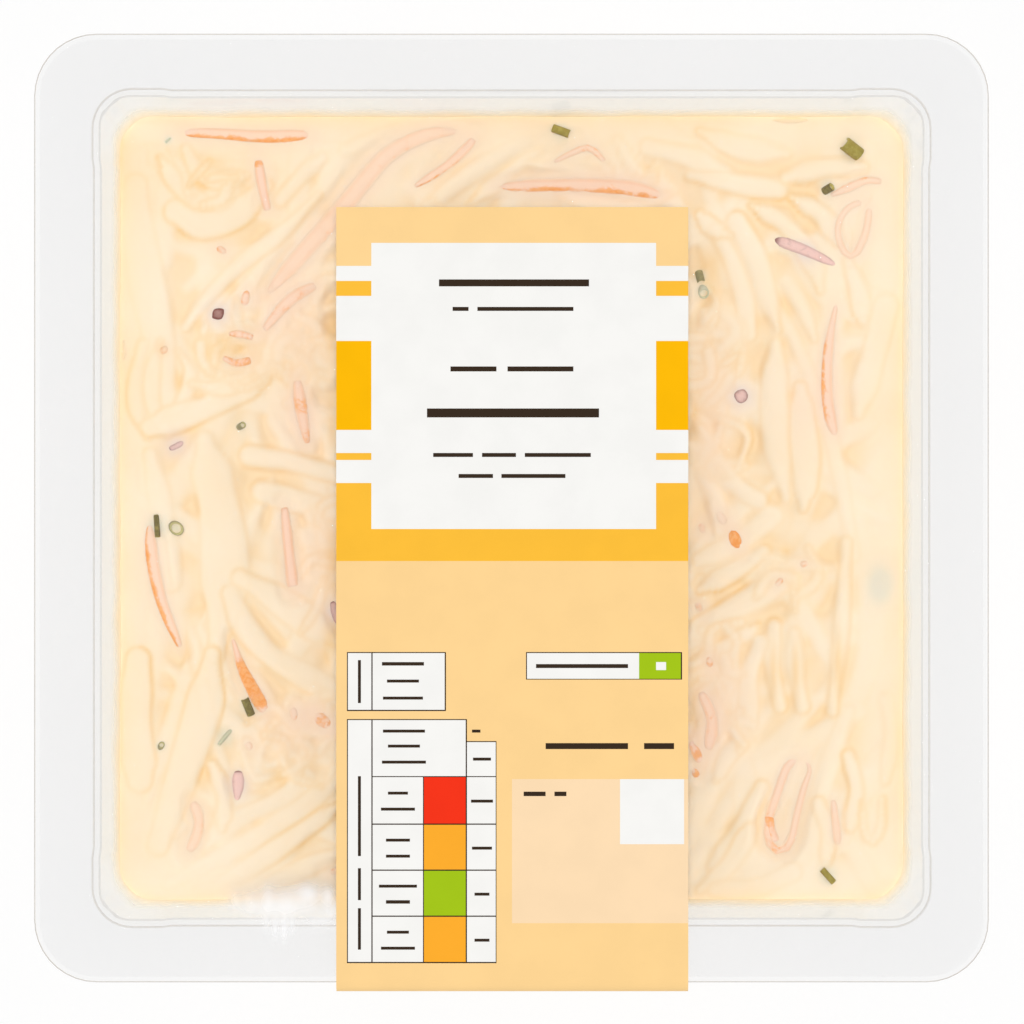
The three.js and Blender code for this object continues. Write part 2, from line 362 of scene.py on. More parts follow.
def clear_finish(name, through, mirror, milk, roughness, smeared=False):
    """Clear sheet that mirrors a little, clouds a little and does both more at a glance, where it
    also greys with painted shade. If it isn't smeared with dressing, it shows painted glare, white
    and rough, where the film is crinkled."""
    finish = Finish(name)
    clear = finish.add("ShaderNodeBsdfTransparent", {}, {"Color": (through, through, through, 1)})
    facing = finish.add("ShaderNodeLayerWeight", {}, {"Blend": 0.5}, "Facing")
    grazing = facing.maths("POWER", facing, 5.0) * 0.8
    # Painted shade: greyer at a glance.
    tone = finish.mix(grazing.ramped(0.05, 0.4), MILKY, EDGE_SHADE_GREY)
    if smeared:
        tone, glow, whitened, rough = clinging_dressing(finish, tone)
    else:
        # Painted glare: white, rough patches over the film's crinkles.
        glare_white = finish.attribute("glare_white")
        glow, whitened, rough = BLACK, glare_white * 0.8, glare_white * 0.3
    share = mirror + milk + grazing + whitened
    mirrored = mirror + grazing * 0.3
    body = finish.principled(
        Base_Color=tone,
        Metallic=mirrored.maths("DIVIDE", mirrored, share),
        Roughness=rough + roughness,
        IOR=1.3,
        Emission_Color=glow,
        Emission_Strength=1.0,
    )
    return finish.surface(finish.blend(share.clamped(), clear, body))


def unlit_clear_finish():
    """The far skin of a clear sheet, which adds nothing to what the near one shows."""
    finish = Finish("clear_far_skin")
    clear = finish.add("ShaderNodeBsdfTransparent", {}, {"Color": WHITE})
    body = finish.principled(Base_Color=MILKY, Roughness=0.1)
    return finish.surface(finish.blend(0.0, clear, body))


def ink(red, green, blue):
    """A printed colour from how it shows on the label."""
    return colour(red, green, blue, PAPER_LIGHT, PAPER_SHEEN)


def print_finish(name, tone):
    """Flat print on coated paper, with the paper's fine tooth."""
    finish = Finish("print_" + name)
    fibre = finish.noise(0.25 * MM, 4.0)
    mottle = finish.noise(5 * MM, 3.0)
    faded = tuple(min(1.0, part * 1.03) for part in tone[:3]) + (1.0,)
    return finish.surface(finish.principled(
        Base_Color=finish.mix(mottle.ramped(0.3, 0.7), tone, faded),
        Roughness=0.46 + fibre * 0.12,
        Specular_IOR_Level=0.1,
        Normal=finish.bump(fibre, 0.08, 0.03 * MM),
    ))


INKS = {
    "straw": ink(254, 214, 149),
    "peach": ink(253, 222, 181),
    "white": ink(247, 246, 243),
    "amber": ink(253, 192, 62),
    "yolk": ink(253, 187, 2),
    "orange": ink(253, 174, 50),
    "red": ink(246, 56, 32),
    "green": ink(164, 198, 32),
    "brown": ink(60, 48, 38),
}


# ---- shared shapes ----
def wall_half(z):
    """Half the width between the inner faces of the walls at height z."""
    return OPENING - STEP_IN - (STEP - z) * math.tan(DRAFT)


def wall_corner(z):
    return np.interp(z, [BASE, STEP], [BASE_CORNER, STEP_CORNER])


def on_rounded_square(u, v, half, radius):
    """Maps the square -1..1 onto a square with round corners."""
    x = u * half
    y = v * half
    flat = half - radius
    cx = np.clip((np.abs(x) - flat) / radius, 0, 1)
    cy = np.clip((np.abs(y) - flat) / radius, 0, 1)
    corner = (cx > 0) & (cy > 0)
    bent_x = np.sign(x) * (flat + radius * cx * np.sqrt(1 - cy**2 / 2))
    bent_y = np.sign(y) * (flat + radius * cy * np.sqrt(1 - cx**2 / 2))
    return np.where(corner, bent_x, x), np.where(corner, bent_y, y)


PATH_STEP = 0.8 * MM


def evenly(points):
    """The same line in even steps."""
    gone = np.concatenate([[0], np.cumsum(np.linalg.norm(np.diff(points, axis=0), axis=1))])
    even = np.linspace(0, gone[-1], max(7, int(gone[-1] / PATH_STEP) + 1))
    return np.column_stack([np.interp(even, gone, points[:, i]) for i in (0, 1)])


def smooth_path(points):
    """A smooth curve through the points, in even steps."""
    points = np.array(points, float)
    before = 2 * points[0] - points[1]
    after = 2 * points[-1] - points[-2]
    ends = np.vstack([before, points, after])
    t = np.linspace(0, 1, 20, endpoint=False)[:, None]
    spans = []
    for a, b, c, d in zip(ends, ends[1:], ends[2:], ends[3:]):
        curve = 2 * b + (c - a) * t + (2 * a - 5 * b + 4 * c - d) * t**2
        spans.append((curve + (3 * b - a - 3 * c + d) * t**3) / 2)
    return evenly(np.vstack(spans + [points[-1:]]))


def blurred(field, sigma):
    """A field blurred by sigma cells, with its edges carried outwards."""
    reach = max(1, int(3 * sigma))
    weights = np.exp(-0.5 * (np.arange(-reach, reach + 1) / sigma) ** 2)
    weights /= weights.sum()
    for axis in (0, 1):
        edges = [(reach, reach) if i == axis else (0, 0) for i in (0, 1)]
        padded = np.pad(field, edges, mode="edge")
        length = field.shape[axis]
        field = sum(w * padded.take(range(i, i + length), axis) for i, w in enumerate(weights))
    return field


def smoothstep(low, high, values):
    t = np.clip((values - low) / (high - low), 0, 1)
    return t * t * (3 - 2 * t)


class Relief:
    """Heights over the tray's square, and the outlines of painted crease shade drawn round what
    lies there.
    """

    def __init__(self, reach, step, level):
        self.step = step
        self.reach = reach
        count = int(round(2 * reach / step)) + 1
        self.axis = np.linspace(-reach, reach, count)
        self.x, self.y = np.meshgrid(self.axis, self.axis)
        self.heights = np.full((count, count), level)
        self.lines = np.zeros((count, count))

    def at(self, field, x, y):
        last = len(self.axis) - 1.001
        column = np.clip((np.asarray(x) + self.reach) / self.step, 0, last)
        row = np.clip((np.asarray(y) + self.reach) / self.step, 0, last)
        i = row.astype(int)
        j = column.astype(int)
        v = row - i
        u = column - j
        lower = field[i, j] * (1 - u) + field[i, j + 1] * u
        upper = field[i + 1, j] * (1 - u) + field[i + 1, j + 1] * u
        return lower * (1 - v) + upper * v

    def around(self, shred):
        """The cells near a shred, how far each lies outside its outline, the height of its axis
        and of its top there, and on which side of its middle line they lie."""
        path = shred.path
        margin = shred.widths.max() + 1.0 * MM
        low = path.min(axis=0) - margin
        high = path.max(axis=0) + margin
        cells = tuple(slice(*np.searchsorted(self.axis, [low[i], high[i]])) for i in (1, 0))
        x = self.x[cells]
        y = self.y[cells]
        if not x.size:
            return cells, x, x, x, x
        dx = x.reshape(-1, 1) - path[:, 0]
        dy = y.reshape(-1, 1) - path[:, 1]
        apart = np.hypot(dx, dy)
        near = apart.argmin(axis=1)
        picked = np.arange(len(apart)), near
        share = apart[picked] / shred.widths[near]
        gap = apart[picked] - shred.widths[near]
        rest = shred.rise[near]
        dome = rest + shred.thick * np.sqrt(np.clip(1 - share**2, 0, 1))
        heading = np.gradient(path, axis=0)[near]
        side = np.sign(heading[:, 0] * dy[picked] - heading[:, 1] * dx[picked])
        return (cells, *[field.reshape(x.shape) for field in (gap, rest, dome, side)])

    def stamp(self, shred, line=0.0, lean=0.0):
        """Raises the field to the top of a shred and draws its outline of painted crease shade
        over what it covers.
        """
        cells, gap, _, top, side = self.around(shred)
        self.heights[cells] = np.maximum(self.heights[cells], np.where(gap < 0, top, -1))
        inside = smoothstep(0.05 * MM, -0.4 * MM, gap)
        # Painted crease shade round the shred's edge, stronger on one side by a random lean.
        drawn = line * (1 + lean * side) * np.exp(-((gap / (0.27 * MM)) ** 2))
        self.lines[cells] = np.maximum(self.lines[cells] * (1 - 0.75 * inside), drawn)


class Form:
    """A unit shape as arrays: where each vertex lies along, beside and above a path."""

    def __init__(self, obj):
        mesh = obj.data
        self.points = np.array([v.co for v in mesh.vertices])
        self.quads = np.array([p.vertices[:] for p in mesh.polygons if len(p.vertices) == 4])
        self.tris = np.array([p.vertices[:] for p in mesh.polygons if len(p.vertices) == 3])
        bpy.data.objects.remove(obj)


def unit_shred(rings, sides, rounding):
    """A closed form drawn out along its axis, whose ends are round over a share of it."""
    bpy.ops.mesh.primitive_uv_sphere_add(segments=sides, ring_count=rings, radius=1)
    form = Form(bpy.context.object)
    polar = np.arccos(np.clip(form.points[:, 2], -1, 1))
    form.along = (1 - np.cos(polar)) / 2
    round_end = np.clip(np.minimum(form.along, 1 - form.along) / rounding, 0, 1)
    fullness = np.sqrt(1 - (1 - round_end) ** 2)
    radial = np.maximum(np.sin(polar), 1e-6)
    form.side = form.points[:, 0] / radial * fullness
    form.lift = form.points[:, 1] / radial * fullness
    return form


class Heap:
    """Many small forms gathered into one piece."""

    def __init__(self):
        self.points = []
        self.quads = []
        self.tris = []
        self.values = {}
        self.count = 0

    def add(self, form, points, **values):
        self.points.append(points)
        for faces, kept in ((form.quads, self.quads), (form.tris, self.tris)):
            if len(faces):
                kept.append(faces + self.count)
        for name, value in values.items():
            self.values.setdefault(name, []).append(np.broadcast_to(value, len(points)))
        self.count += len(points)

    def build(self, name):
        faces = [face for part in self.quads + self.tris for face in part.tolist()]
        mesh = bpy.data.meshes.new(name)
        mesh.from_pydata(np.vstack(self.points).tolist(), [], faces)
        set_values(mesh, {key: np.concatenate(parts) for key, parts in self.values.items()})
        mesh.shade_smooth()
        piece = bpy.data.objects.new(name, mesh)
        bpy.context.collection.objects.link(piece)
        return piece


def set_values(mesh, values):
    """Stores named numbers on a mesh's vertices, for its finish to read."""
    for key, numbers in values.items():
        layer = mesh.attributes.new(key, "FLOAT", "POINT")
        layer.data.foreach_set("value", np.ascontiguousarray(numbers, dtype=np.float32))


def face_outwards():
    """Turns every face of the piece in edit mode outwards, and leaves edit mode."""
    bpy.ops.mesh.select_all(action="SELECT")
    bpy.ops.mesh.normals_make_consistent(inside=False)
    bpy.ops.object.mode_set(mode="OBJECT")


def shade(piece, degrees):
    """Smooths a piece except at edges sharper than an angle."""
    bpy.ops.object.select_all(action="DESELECT")
    piece.select_set(True)
    bpy.context.view_layer.objects.active = piece
    bpy.ops.object.shade_smooth_by_angle(angle=math.radians(degrees))
    bpy.ops.object.select_all(action="DESELECT")


def finished(piece, finish):
    piece.data.materials.append(finish)
    return piece


def show(piece, slot, *nodes):
    """Lets a piece ride on the pack and hides the nodes it replaces. Its slot is not used."""
    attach(piece, "root")
    if nodes:
        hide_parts(*nodes)


# ---- what shows on top ----
# Each shred of cabbage: its width in view pixels, then the view points it runs through.
CABBAGE = (
    (34, (136, 185), (138, 225), (146, 275), (157, 330), (166, 395)),
    (34, (176, 212), (205, 224), (240, 212), (264, 186)),
    (20, (160, 158), (176, 182), (200, 200), (228, 196)),
    (20, (186, 150), (199, 172), (222, 180), (246, 176)),
    (17, (186, 327), (212, 293), (246, 260), (286, 229), (318, 196)),
    (15, (205, 330), (236, 300), (262, 270), (290, 243)),
    (15, (254, 352), (238, 360), (220, 352), (214, 336), (228, 322), (250, 326), (262, 342)),
    (13, (210, 372), (232, 378), (258, 372), (280, 356)),
    (15, (143, 345), (135, 378), (136, 412), (148, 436)),
    (16, (160, 342), (152, 375), (153, 405), (166, 432)),
    (15, (178, 352), (190, 372), (182, 402), (164, 420)),
    (27, (150, 428), (190, 414), (225, 399), (262, 378)),
    (18, (192, 384), (222, 388), (255, 374), (292, 352)),
    (26, (150, 455), (160, 500), (166, 545), (170, 580)),
    (46, (205, 440), (215, 488), (224, 545), (224, 600), (216, 655)),
    (22, (250, 456), (290, 462), (340, 476)),
    (24, (262, 492), (300, 502), (345, 514)),
    (30, (240, 578), (278, 600), (340, 644)),
    (27, (230, 594), (246, 628), (274, 658), (304, 676), (342, 694)),
    (36, (212, 655), (205, 702), (190, 752), (174, 800), (158, 845)),
    (34, (138, 660), (136, 715), (140, 780)),
    (21, (168, 884), (215, 860), (258, 836), (300, 808), (342, 772)),
    (21, (200, 895), (245, 870), (290, 840), (342, 803)),
    (20, (262, 888), (300, 870), (342, 852)),
    (20, (204, 842), (236, 820), (278, 800), (306, 778)),
    (17, (212, 765), (224, 795), (222, 828)),
    (19, (430, 206), (462, 180), (496, 158), (528, 139)),
    (16, (470, 204), (500, 180), (536, 152)),
    (15, (618, 140), (628, 160), (640, 178)),
    (22, (648, 148), (690, 158), (724, 172)),
    (24, (700, 132), (740, 148), (786, 154)),
    (22, (690, 176), (735, 184), (778, 190)),
    (22, (786, 178), (824, 168), (862, 168)),
    (21, (792, 198), (820, 214), (838, 240)),
    (21, (752, 206), (786, 226), (812, 262), (820, 290)),
    (24, (737, 222), (756, 258), (768, 300), (778, 330)),
    (19, (716, 232), (732, 262), (744, 300), (748, 334)),
    (18, (700, 216), (712, 228), (730, 236)),
    (17, (786, 282), (802, 308), (814, 338)),
    (27, (776, 345), (774, 400), (777, 450), (786, 498)),
    (28, (800, 388), (803, 430), (806, 470), (803, 508)),
    (28, (886, 306), (876, 345), (865, 384), (858, 414)),
    (20, (848, 262), (858, 290), (862, 320)),
    (22, (700, 430), (716, 462), (736, 486), (758, 500)),
    (17, (700, 470), (716, 500), (720, 530)),
    (29, (688, 640), (722, 617), (752, 598), (786, 584)),
    (18, (690, 668), (724, 648), (758, 626)),
    (17, (774, 626), (772, 665), (780, 706)),
    (18, (794, 634), (795, 670), (802, 706)),
    (16, (846, 543), (843, 598), (839, 650), (832, 711)),
    (20, (760, 642), (748, 680), (750, 722)),
    (17, (736, 655), (724, 692), (714, 738)),
    (20, (762, 788), (742, 826), (714, 866)),
    (20, (750, 830), (728, 866), (700, 890)),
    (20, (792, 872), (756, 888), (716, 892)),
    (17, (818, 804), (828, 830), (826, 862)),
    (17, (848, 756), (856, 790), (850, 826)),
    (9, (862, 802), (864, 832), (873, 841), (881, 826), (882, 800)),
    (15, (886, 700), (891, 735), (885, 780)),
    (22, (700, 560), (738, 542), (772, 516)),
    (20, (700, 590), (736, 570), (764, 552)),
    (18, (716, 780), (730, 752), (752, 738)),
    (19, (345, 150), (382, 138), (420, 128)),
    (17, (280, 200), (300, 178), (322, 158)),
    (19, (560, 190), (596, 206), (640, 206)),
)

# Each shred of carrot: its width, how bare of dressing it is, where along it the bare part
# begins and ends, the side of it that shows most colour, and its view points.
CARROT = (
    (14, 1.2, 0.0, 0.96, -1.0, (178, 131), (216, 133), (262, 136), (314, 134)),
    (11, 0.9, 0.0, 0.14, 0.0, (258, 158), (262, 186), (268, 212)),
    (18, 0.2, 0.3, 0.9, -1.0, (262, 300), (300, 256), (344, 206), (384, 158), (420, 137),
     (452, 130), (472, 134)),
    (10, 0.75, 0.35, 1.0, 0.6, (476, 136), (466, 148), (446, 166), (412, 188)),
    (7, 0.3, 0.5, 0.9, 0.0, (552, 163), (574, 152), (590, 148), (606, 163)),
    (15, 0.9, 0.0, 1.0, -1.0, (493, 187), (538, 185), (584, 185), (630, 188), (666, 197)),
    (9, 0.5, 0.2, 1.0, 1.0, (829, 196), (850, 187), (867, 180), (884, 182)),
    (8, 0.1, 0.0, 0.0, 0.0, (870, 203), (866, 232), (853, 257), (841, 246), (838, 226),
     (848, 208), (866, 200)),
    (12, 1.0, 0.3, 0.85, -0.7, (837, 300), (829, 345), (827, 388), (831, 420), (837, 440)),
    (13, 1.1, 0.0, 1.0, -1.0, (149, 520), (151, 545), (154, 570), (163, 606), (182, 652)),
    (14, 1.3, 0.12, 0.7, 0.0, (266, 714), (254, 692), (241, 666), (232, 636)),
    (13, 0.8, 0.0, 0.1, 0.0, (284, 504), (288, 545), (293, 590)),
    (13, 0.5, 0.3, 1.0, 0.0, (297, 378), (302, 415), (308, 446)),
    (12, 0.3, 0.3, 0.9, 0.6, (192, 800), (199, 820), (195, 840), (187, 853)),
    (9, 0.35, 0.3, 0.55, 0.0, (803, 757), (788, 766), (777, 795), (768, 825), (771, 846),
     (781, 852), (791, 842), (797, 815), (804, 788), (810, 768), (800, 757)),
    (11, 0.85, 0.0, 0.8, 0.0, (769, 814), (771, 830), (776, 843)),
    (11, 0.8, 0.2, 0.8, 0.0, (690, 736), (695, 750), (702, 764)),
    (12, 1.2, 0.0, 1.0, 0.0, (729, 525), (735, 539), (741, 553)),
    (9, 0.15, 0.2, 0.8, 0.0, (716, 508), (727, 528)),
    (14, 0.75, 0.2, 0.8, 0.0, (312, 711), (322, 720), (334, 730)),
    (8, 0.7, 0.0, 1.0, 0.0, (292, 704), (294, 714), (295, 724)),
    (9, 0.6, 0.0, 1.0, 0.0, (248, 286), (243, 310)),
    (9, 0.2, 0.3, 0.7, 0.0, (833, 798), (838, 846)),
    (8, 0.55, 0.0, 1.0, 0.0, (214, 246), (229, 254)),
    (9, 0.55, 0.0, 1.0, 0.0, (160, 346), (168, 354)),
    (7, 0.55, 0.0, 1.0, 0.0, (774, 588), (784, 576)),
    (7, 0.55, 0.0, 1.0, 0.0, (798, 566), (810, 562)),
    (12, 0.3, 0.2, 0.9, 0.0, (262, 332), (290, 300), (318, 284)),
    (13, 0.3, 0.3, 0.8, 0.0, (700, 690), (712, 720), (708, 752)),
    (9, 0.4, 0.2, 0.8, 0.0, (326, 874), (346, 868)),
    (8, 0.45, 0.0, 1.0, 0.0, (246, 740), (252, 752)),
    (8, 0.62, 0.0, 1.0, 0.0, (228, 334), (240, 334), (254, 338)),
    (8, 0.62, 0.0, 1.0, 0.0, (222, 357), (236, 363), (252, 360)),
    (7, 0.55, 0.0, 1.0, 0.0, (696, 600), (702, 614)),
    (7, 0.6, 0.0, 1.0, 0.0, (708, 654), (711, 670)),
    (8, 0.7, 0.1, 0.9, 0.0, (692, 766), (699, 780)),
    (7, 0.5, 0.0, 1.0, 0.0, (700, 520), (704, 536)),
)

# Each cut of chive: view point, length and width in view pixels, heading in degrees, how far
# it stands on end, how deep it lies in the dressing and how dark it is.
CHIVES = (
    (561, 131, 18, 12, -20, 0.0, 0.0, 0.0),
    (852, 149, 20, 19, -38, 0.0, 0.0, 0.0),
    (828, 189, 12, 11, 30, 0.45, 0.0, 0.8),
    (700, 277, 11, 12, -76, 0.1, 0.2, 0.5),
    (703, 290, 14, 15, -76, 0.6, 0.9, 0.3),
    (241, 426, 8, 9, 30, 0.6, 0.25, 0.7),
    (157, 526, 23, 8, -86, 0.1, 0.0, 0.75),
    (176, 528, 9, 17, -40, 0.85, 0.3, 0.35),
    (248, 707, 18, 12, -68, 0.0, 0.0, 0.7),
    (161, 746, 7, 9, 60, 0.7, 0.3, 0.6),
    (828, 876, 18, 9, -48, 0.0, 0.0, 0.1),
    (225, 737, 20, 6, 50, 0.0, 0.85, 0.0),
    (168, 140, 7, 5, 40, 0.0, 1.0, 0.0),
)

# Each piece of red onion: its width, how deep it lies, how dark it is, and view points along it.
ONION = (
    (10, 0.0, 0.0, (774, 239), (804, 250), (836, 265)),
    (16, 0.1, 0.1, (731, 393), (741, 396), (751, 399)),
    (12, 0.0, 0.0, (238, 770), (238, 785), (237, 801)),
    (11, 0.0, 0.7, (211, 319), (218, 314), (225, 308)),
    (5, 0.5, 0.25, (169, 449), (176, 446), (183, 442)),
    (10, 0.2, 0.3, (332, 601), (336, 613), (340, 624)),
)

# Where finely cut bits lie thickest: view point, reach across and down, and how many.
BITS = (
    (300, 330, 34, 52, 26),
    (236, 345, 30, 26, 12),
    (710, 400, 24, 100, 34),
    (712, 700, 26, 60, 22),
    (298, 738, 40, 34, 26),
    (326, 560, 16, 50, 8),
    (790, 572, 26, 18, 7),
    (600, 165, 60, 20, 8),
    (210, 180, 34, 16, 5),
    (512, 520, 160, 300, 60),
)

# Where the dressing is darkened with painted shade (in hollows, beside the label and as the shadow
# of a leaf), and where it takes on the colour of carrot, which beside the label's edges also
# paints its shade: view point, and reach across and down.
PAINTED_SHADE_SPOTS = (
    (712, 274, 15, 36),
    (332, 330, 9, 34),
    (332, 430, 7, 30),
    (332, 560, 10, 40),
    (330, 640, 10, 30),
    (694, 700, 9, 36),
    (694, 420, 8, 30),
    (328, 215, 12, 18),
    (232, 348, 26, 18),
    (163, 350, 8, 8),
    (838, 662, 7, 44),
    (773, 672, 6, 40),
    (795, 672, 6, 38),
)

# Pink tint; the patches along the label's edges paint its shade.
BLUSHES_AND_LABEL_SHADE = (
    (296, 330, 56, 70),
    (712, 420, 34, 130),
    (722, 700, 46, 90),
    (296, 730, 60, 46),
    (320, 560, 36, 90),
    (300, 420, 40, 60),
    (812, 400, 50, 60),
    (600, 190, 100, 26),
)
WARM_CORNER = ((235, 165, 100, 50),)
THICKEST_DRESSING = ((755, 162, 90, 50),)
# A painted reflection on the film, put into the dressing under it as grey-green and lilac.
FILM_REFLECTION_SPOT = ((880, 585, 17, 26),)

# ---- shreds ----
BEAD_LENGTH = 3.2  # half widths. A shorter shred is a bead, with ends that are round all over
SIDE_LENGTH = 2 * wall_half(FILL - 15 * MM)  # of one wall, at a level about half way up


def path_length(path):
    return np.linalg.norm(np.diff(path, axis=0), axis=1).sum()


def is_bead(path, half_width):
    return path_length(path) < BEAD_LENGTH * half_width


@dataclass
class Shred:
    """A shred on a face of the filling: its middle line, half widths and half thickness."""

    path: np.ndarray
    rise: np.ndarray
    widths: np.ndarray
    thick: float
    sides: int = 10

    def form(self):
        return shred_form(self.path, self.widths.max(), self.sides)

    def add_to(self, heap, face, **values):
        """Sweeps the unit shred along the path, onto a face of the filling."""
        form = self.form()
        steps = np.arange(len(self.path))
        at = form.along * (len(self.path) - 1)
        heading = np.gradient(self.path, axis=0)
        heading /= np.linalg.norm(heading, axis=1)[:, None]
        width = np.interp(at, steps, self.widths) * form.side
        a = np.interp(at, steps, self.path[:, 0]) - np.interp(at, steps, heading[:, 1]) * width
        b = np.interp(at, steps, self.path[:, 1]) + np.interp(at, steps, heading[:, 0]) * width
        height = np.interp(at, steps, self.rise) + self.thick * form.lift
        heap.add(form, face(a, b, height), **values)


def eased(values, reach=9):
    """Values along a path with their bumps smoothed out."""
    window = min(len(values) // 2 * 2 - 1, reach)
    padded = np.pad(values, window // 2, mode="edge")
    return np.convolve(padded, np.ones(window) / window, mode="valid")


def top_face(a, b, height):
    return np.column_stack([a, b, height])


def floor_face(a, b, height):
    return np.column_stack([a, b, FLOOR - height])


def wall_face(a, b, height):
    """A point `a` along the walls from the right front corner, at height b, `height` outwards."""
    turns = np.floor(a / SIDE_LENGTH).astype(int)
    v = 2 * (a / SIDE_LENGTH - turns) - 1
    half = wall_half(b) + height
    x, y = on_rounded_square(np.ones_like(v), v, half, wall_corner(b) + height)
    cos = np.choose(turns % 4, [1, 0, -1, 0])
    sin = np.choose(turns % 4, [0, 1, 0, -1])
    return np.column_stack([x * cos - y * sin, x * sin + y * cos, b])


FORMS = {}


def shred_form(path, half_width, sides):
    """A unit form with rings to suit a path's length, made once for each size."""
    rings = int(np.clip(6 * round(path_length(path) / (7 * MM)) + 8, 14, 50))
    rounding = 0.5 if is_bead(path, half_width) else 0.09
    if (rings, sides, rounding) not in FORMS:
        FORMS[rings, sides, rounding] = unit_shred(rings, sides, rounding)
    return FORMS[rings, sides, rounding]


def uneven_width(path, half_width, least_tip=0.35):
    """Half widths along a shred: slow swelling, and ends that each taper in their own way."""
    t = np.linspace(0, 1, len(path))
    swell = 1 + 0.1 * np.sin(random.uniform(0, 6.28) + t * random.uniform(4, 10))
    for from_end in (t, 1 - t):
        tip = random.uniform(least_tip, 1.0)
        swell *= tip + (1 - tip) * smoothstep(0, random.uniform(0.12, 0.4), from_end)
    return half_width * swell


def lay(path, half_width, half_thick, crown, line, lean=0.0):
    """Lays a shred, which sags onto what is under it but is pressed to its level, with an outline
    of painted crease shade.
    """
    support = relief.at(relief.heights, *path.T)
    target = crown - half_thick
    rest = 0.3 * (support + 0.2 * half_thick) + 0.7 * target
    rise = eased(np.clip(rest, target - 0.7 * MM, target + 0.35 * MM))
    shred = Shred(path, rise, uneven_width(path, half_width), half_thick)
    relief.stamp(shred, line, lean)


def bowed_path(centre, turn, length, bow):
    """A path with its middle near a centre, to one side by up to `bow`."""
    along = np.array([math.cos(turn), math.sin(turn)])
    across = np.array([-along[1], along[0]])
    middle = centre + across * random.uniform(-bow, bow)
    return smooth_path([centre - along * length / 2, middle, centre + along * length / 2])


def random_path(reach_x, reach_y, length, bow, middle=(0, 0)):
    """A bowed path of a given length, anywhere within reach of a middle."""
    centre = np.array(middle) + random.uniform([-reach_x, -reach_y], [reach_x, reach_y])
    return bowed_path(centre, random.uniform(0, math.pi), length, bow)


def kept_inside(path, margin):
    """Draws a path in so that no point lies closer to the wall than margin."""
    reach = wall_half(FILL) - margin
    return evenly(np.clip(path, -reach, reach))


def view_path(points):
    return smooth_path([below_view(x, y, FILL) for x, y in points])


# ---- laying the filling ----
CELL = 0.3 * MM
relief = Relief(wall_half(FILL) + 0.4 * MM, CELL, FILL - 2.4 * MM)
cabbage_heap = Heap()
carrot_heap = Heap()
onion_heap = Heap()


def buried_cabbage(count, crowns, widths, lengths, line):
    """Unseen and half seen shreds that the ones on top lie on."""
    reach = wall_half(FILL) - 4 * MM
    for _ in range(count):
        length = random.uniform(*lengths) * MM
        half_width = random.uniform(*widths) * MM / 2
        path = kept_inside(random_path(reach, reach, length, length * 0.22), half_width)
        crown = FILL - random.uniform(*crowns) * MM
        thick = half_width * random.uniform(0.42, 0.6)
        lay(path, half_width, thick, crown, line * random.random())


def cut_bits():
    """Finely cut cabbage in the places where it lies thickest."""
    for x, y, across, down, count in BITS:
        middle = below_view(x, y, FILL)
        for _ in range(count):
            length = random.uniform(3.0, 8) * MM
            half_width = random.uniform(0.45, 0.9) * MM
            path = random_path(across * PIXEL, down * PIXEL, length, length * 0.45, middle)
            crown = FILL + random.uniform(-0.4, 0.1) * MM
            line = random.uniform(0.25, 0.85)
            lay(kept_inside(path, half_width), half_width, half_width * 0.6, crown, line)


def top_cabbage():
    """The shreds that show on top, pressed to levels that take turns."""
    for order, (width, *points) in enumerate(CABBAGE):
        half_width = width * PIXEL / 2
        thick = 0.3 * MM + 0.2 * half_width
        path = kept_inside(view_path(points), half_width * 0.9)
        crown = FILL + (0.05 * (order % 9) - 0.15) * MM
        line = random.uniform(0.45, 0.95)
        lay(path, half_width, thick, crown, line, random.uniform(-0.35, 0.35))


buried_cabbage(120, (1.1, 1.9), (2.4, 4.4), (14, 46), 0.2)
buried_cabbage(90, (0.5, 1.2), (2.0, 3.8), (12, 40), 0.35)
top_cabbage()
cut_bits()


# ---- dressing ----
def slow_noise(size, seed):
    """Smooth noise, mostly from -1 to 1, with lumps of a given size."""
    field = np.random.default_rng(seed).normal(size=relief.x.shape)
    field = blurred(field, size / CELL)
    return np.clip(field / (2 * field.std()), -1.5, 1.5)


def ellipse_mask(places):
    """A soft field that is 1 in the middle of each ellipse."""
    field = np.zeros_like(relief.x)
    for x, y, across, down in places:
        cx, cy = below_view(x, y, FILL)
        apart = np.hypot((relief.x - cx) / (across * PIXEL), (relief.y - cy) / (down * PIXEL))
        field = np.maximum(field, np.exp(-2.0 * apart**2))
    return field


from_wall = wall_half(FILL) - np.maximum(np.abs(relief.x), np.abs(relief.y))
by_wall = 1 - smoothstep(2.0 * MM, 8 * MM, from_wall)
cover = np.clip(by_wall + 0.35 * slow_noise(6 * MM, 3), 0, 1)


def settled_dressing(heights):
    """Dressing coats every shred, so that only soft waves are left, and fewer by the walls."""
    fine = blurred(heights, 0.45 * MM / CELL)
    broad = blurred(heights, 4 * MM / CELL)
    waves = (0.6 - 0.4 * cover) * (fine - broad) + 0.3 * (broad - broad.mean())
    waves += 0.02 * MM * slow_noise(1.2 * MM, 5)
    calm = 0.7 * (1 - smoothstep(0, 3.5 * MM, from_wall))
    return FILL - 0.2 * MM + waves * (1 - calm)


CARROT_THICK = 0.36 * MM  # half of it
CARROT_PROUD = 0.08 * MM
CARROT_SPREAD = 1.62  # how much wider a shred is than the crest that stays in sight
ONION_SPREAD = 1.3
WEDGE_TAPER = 0.6


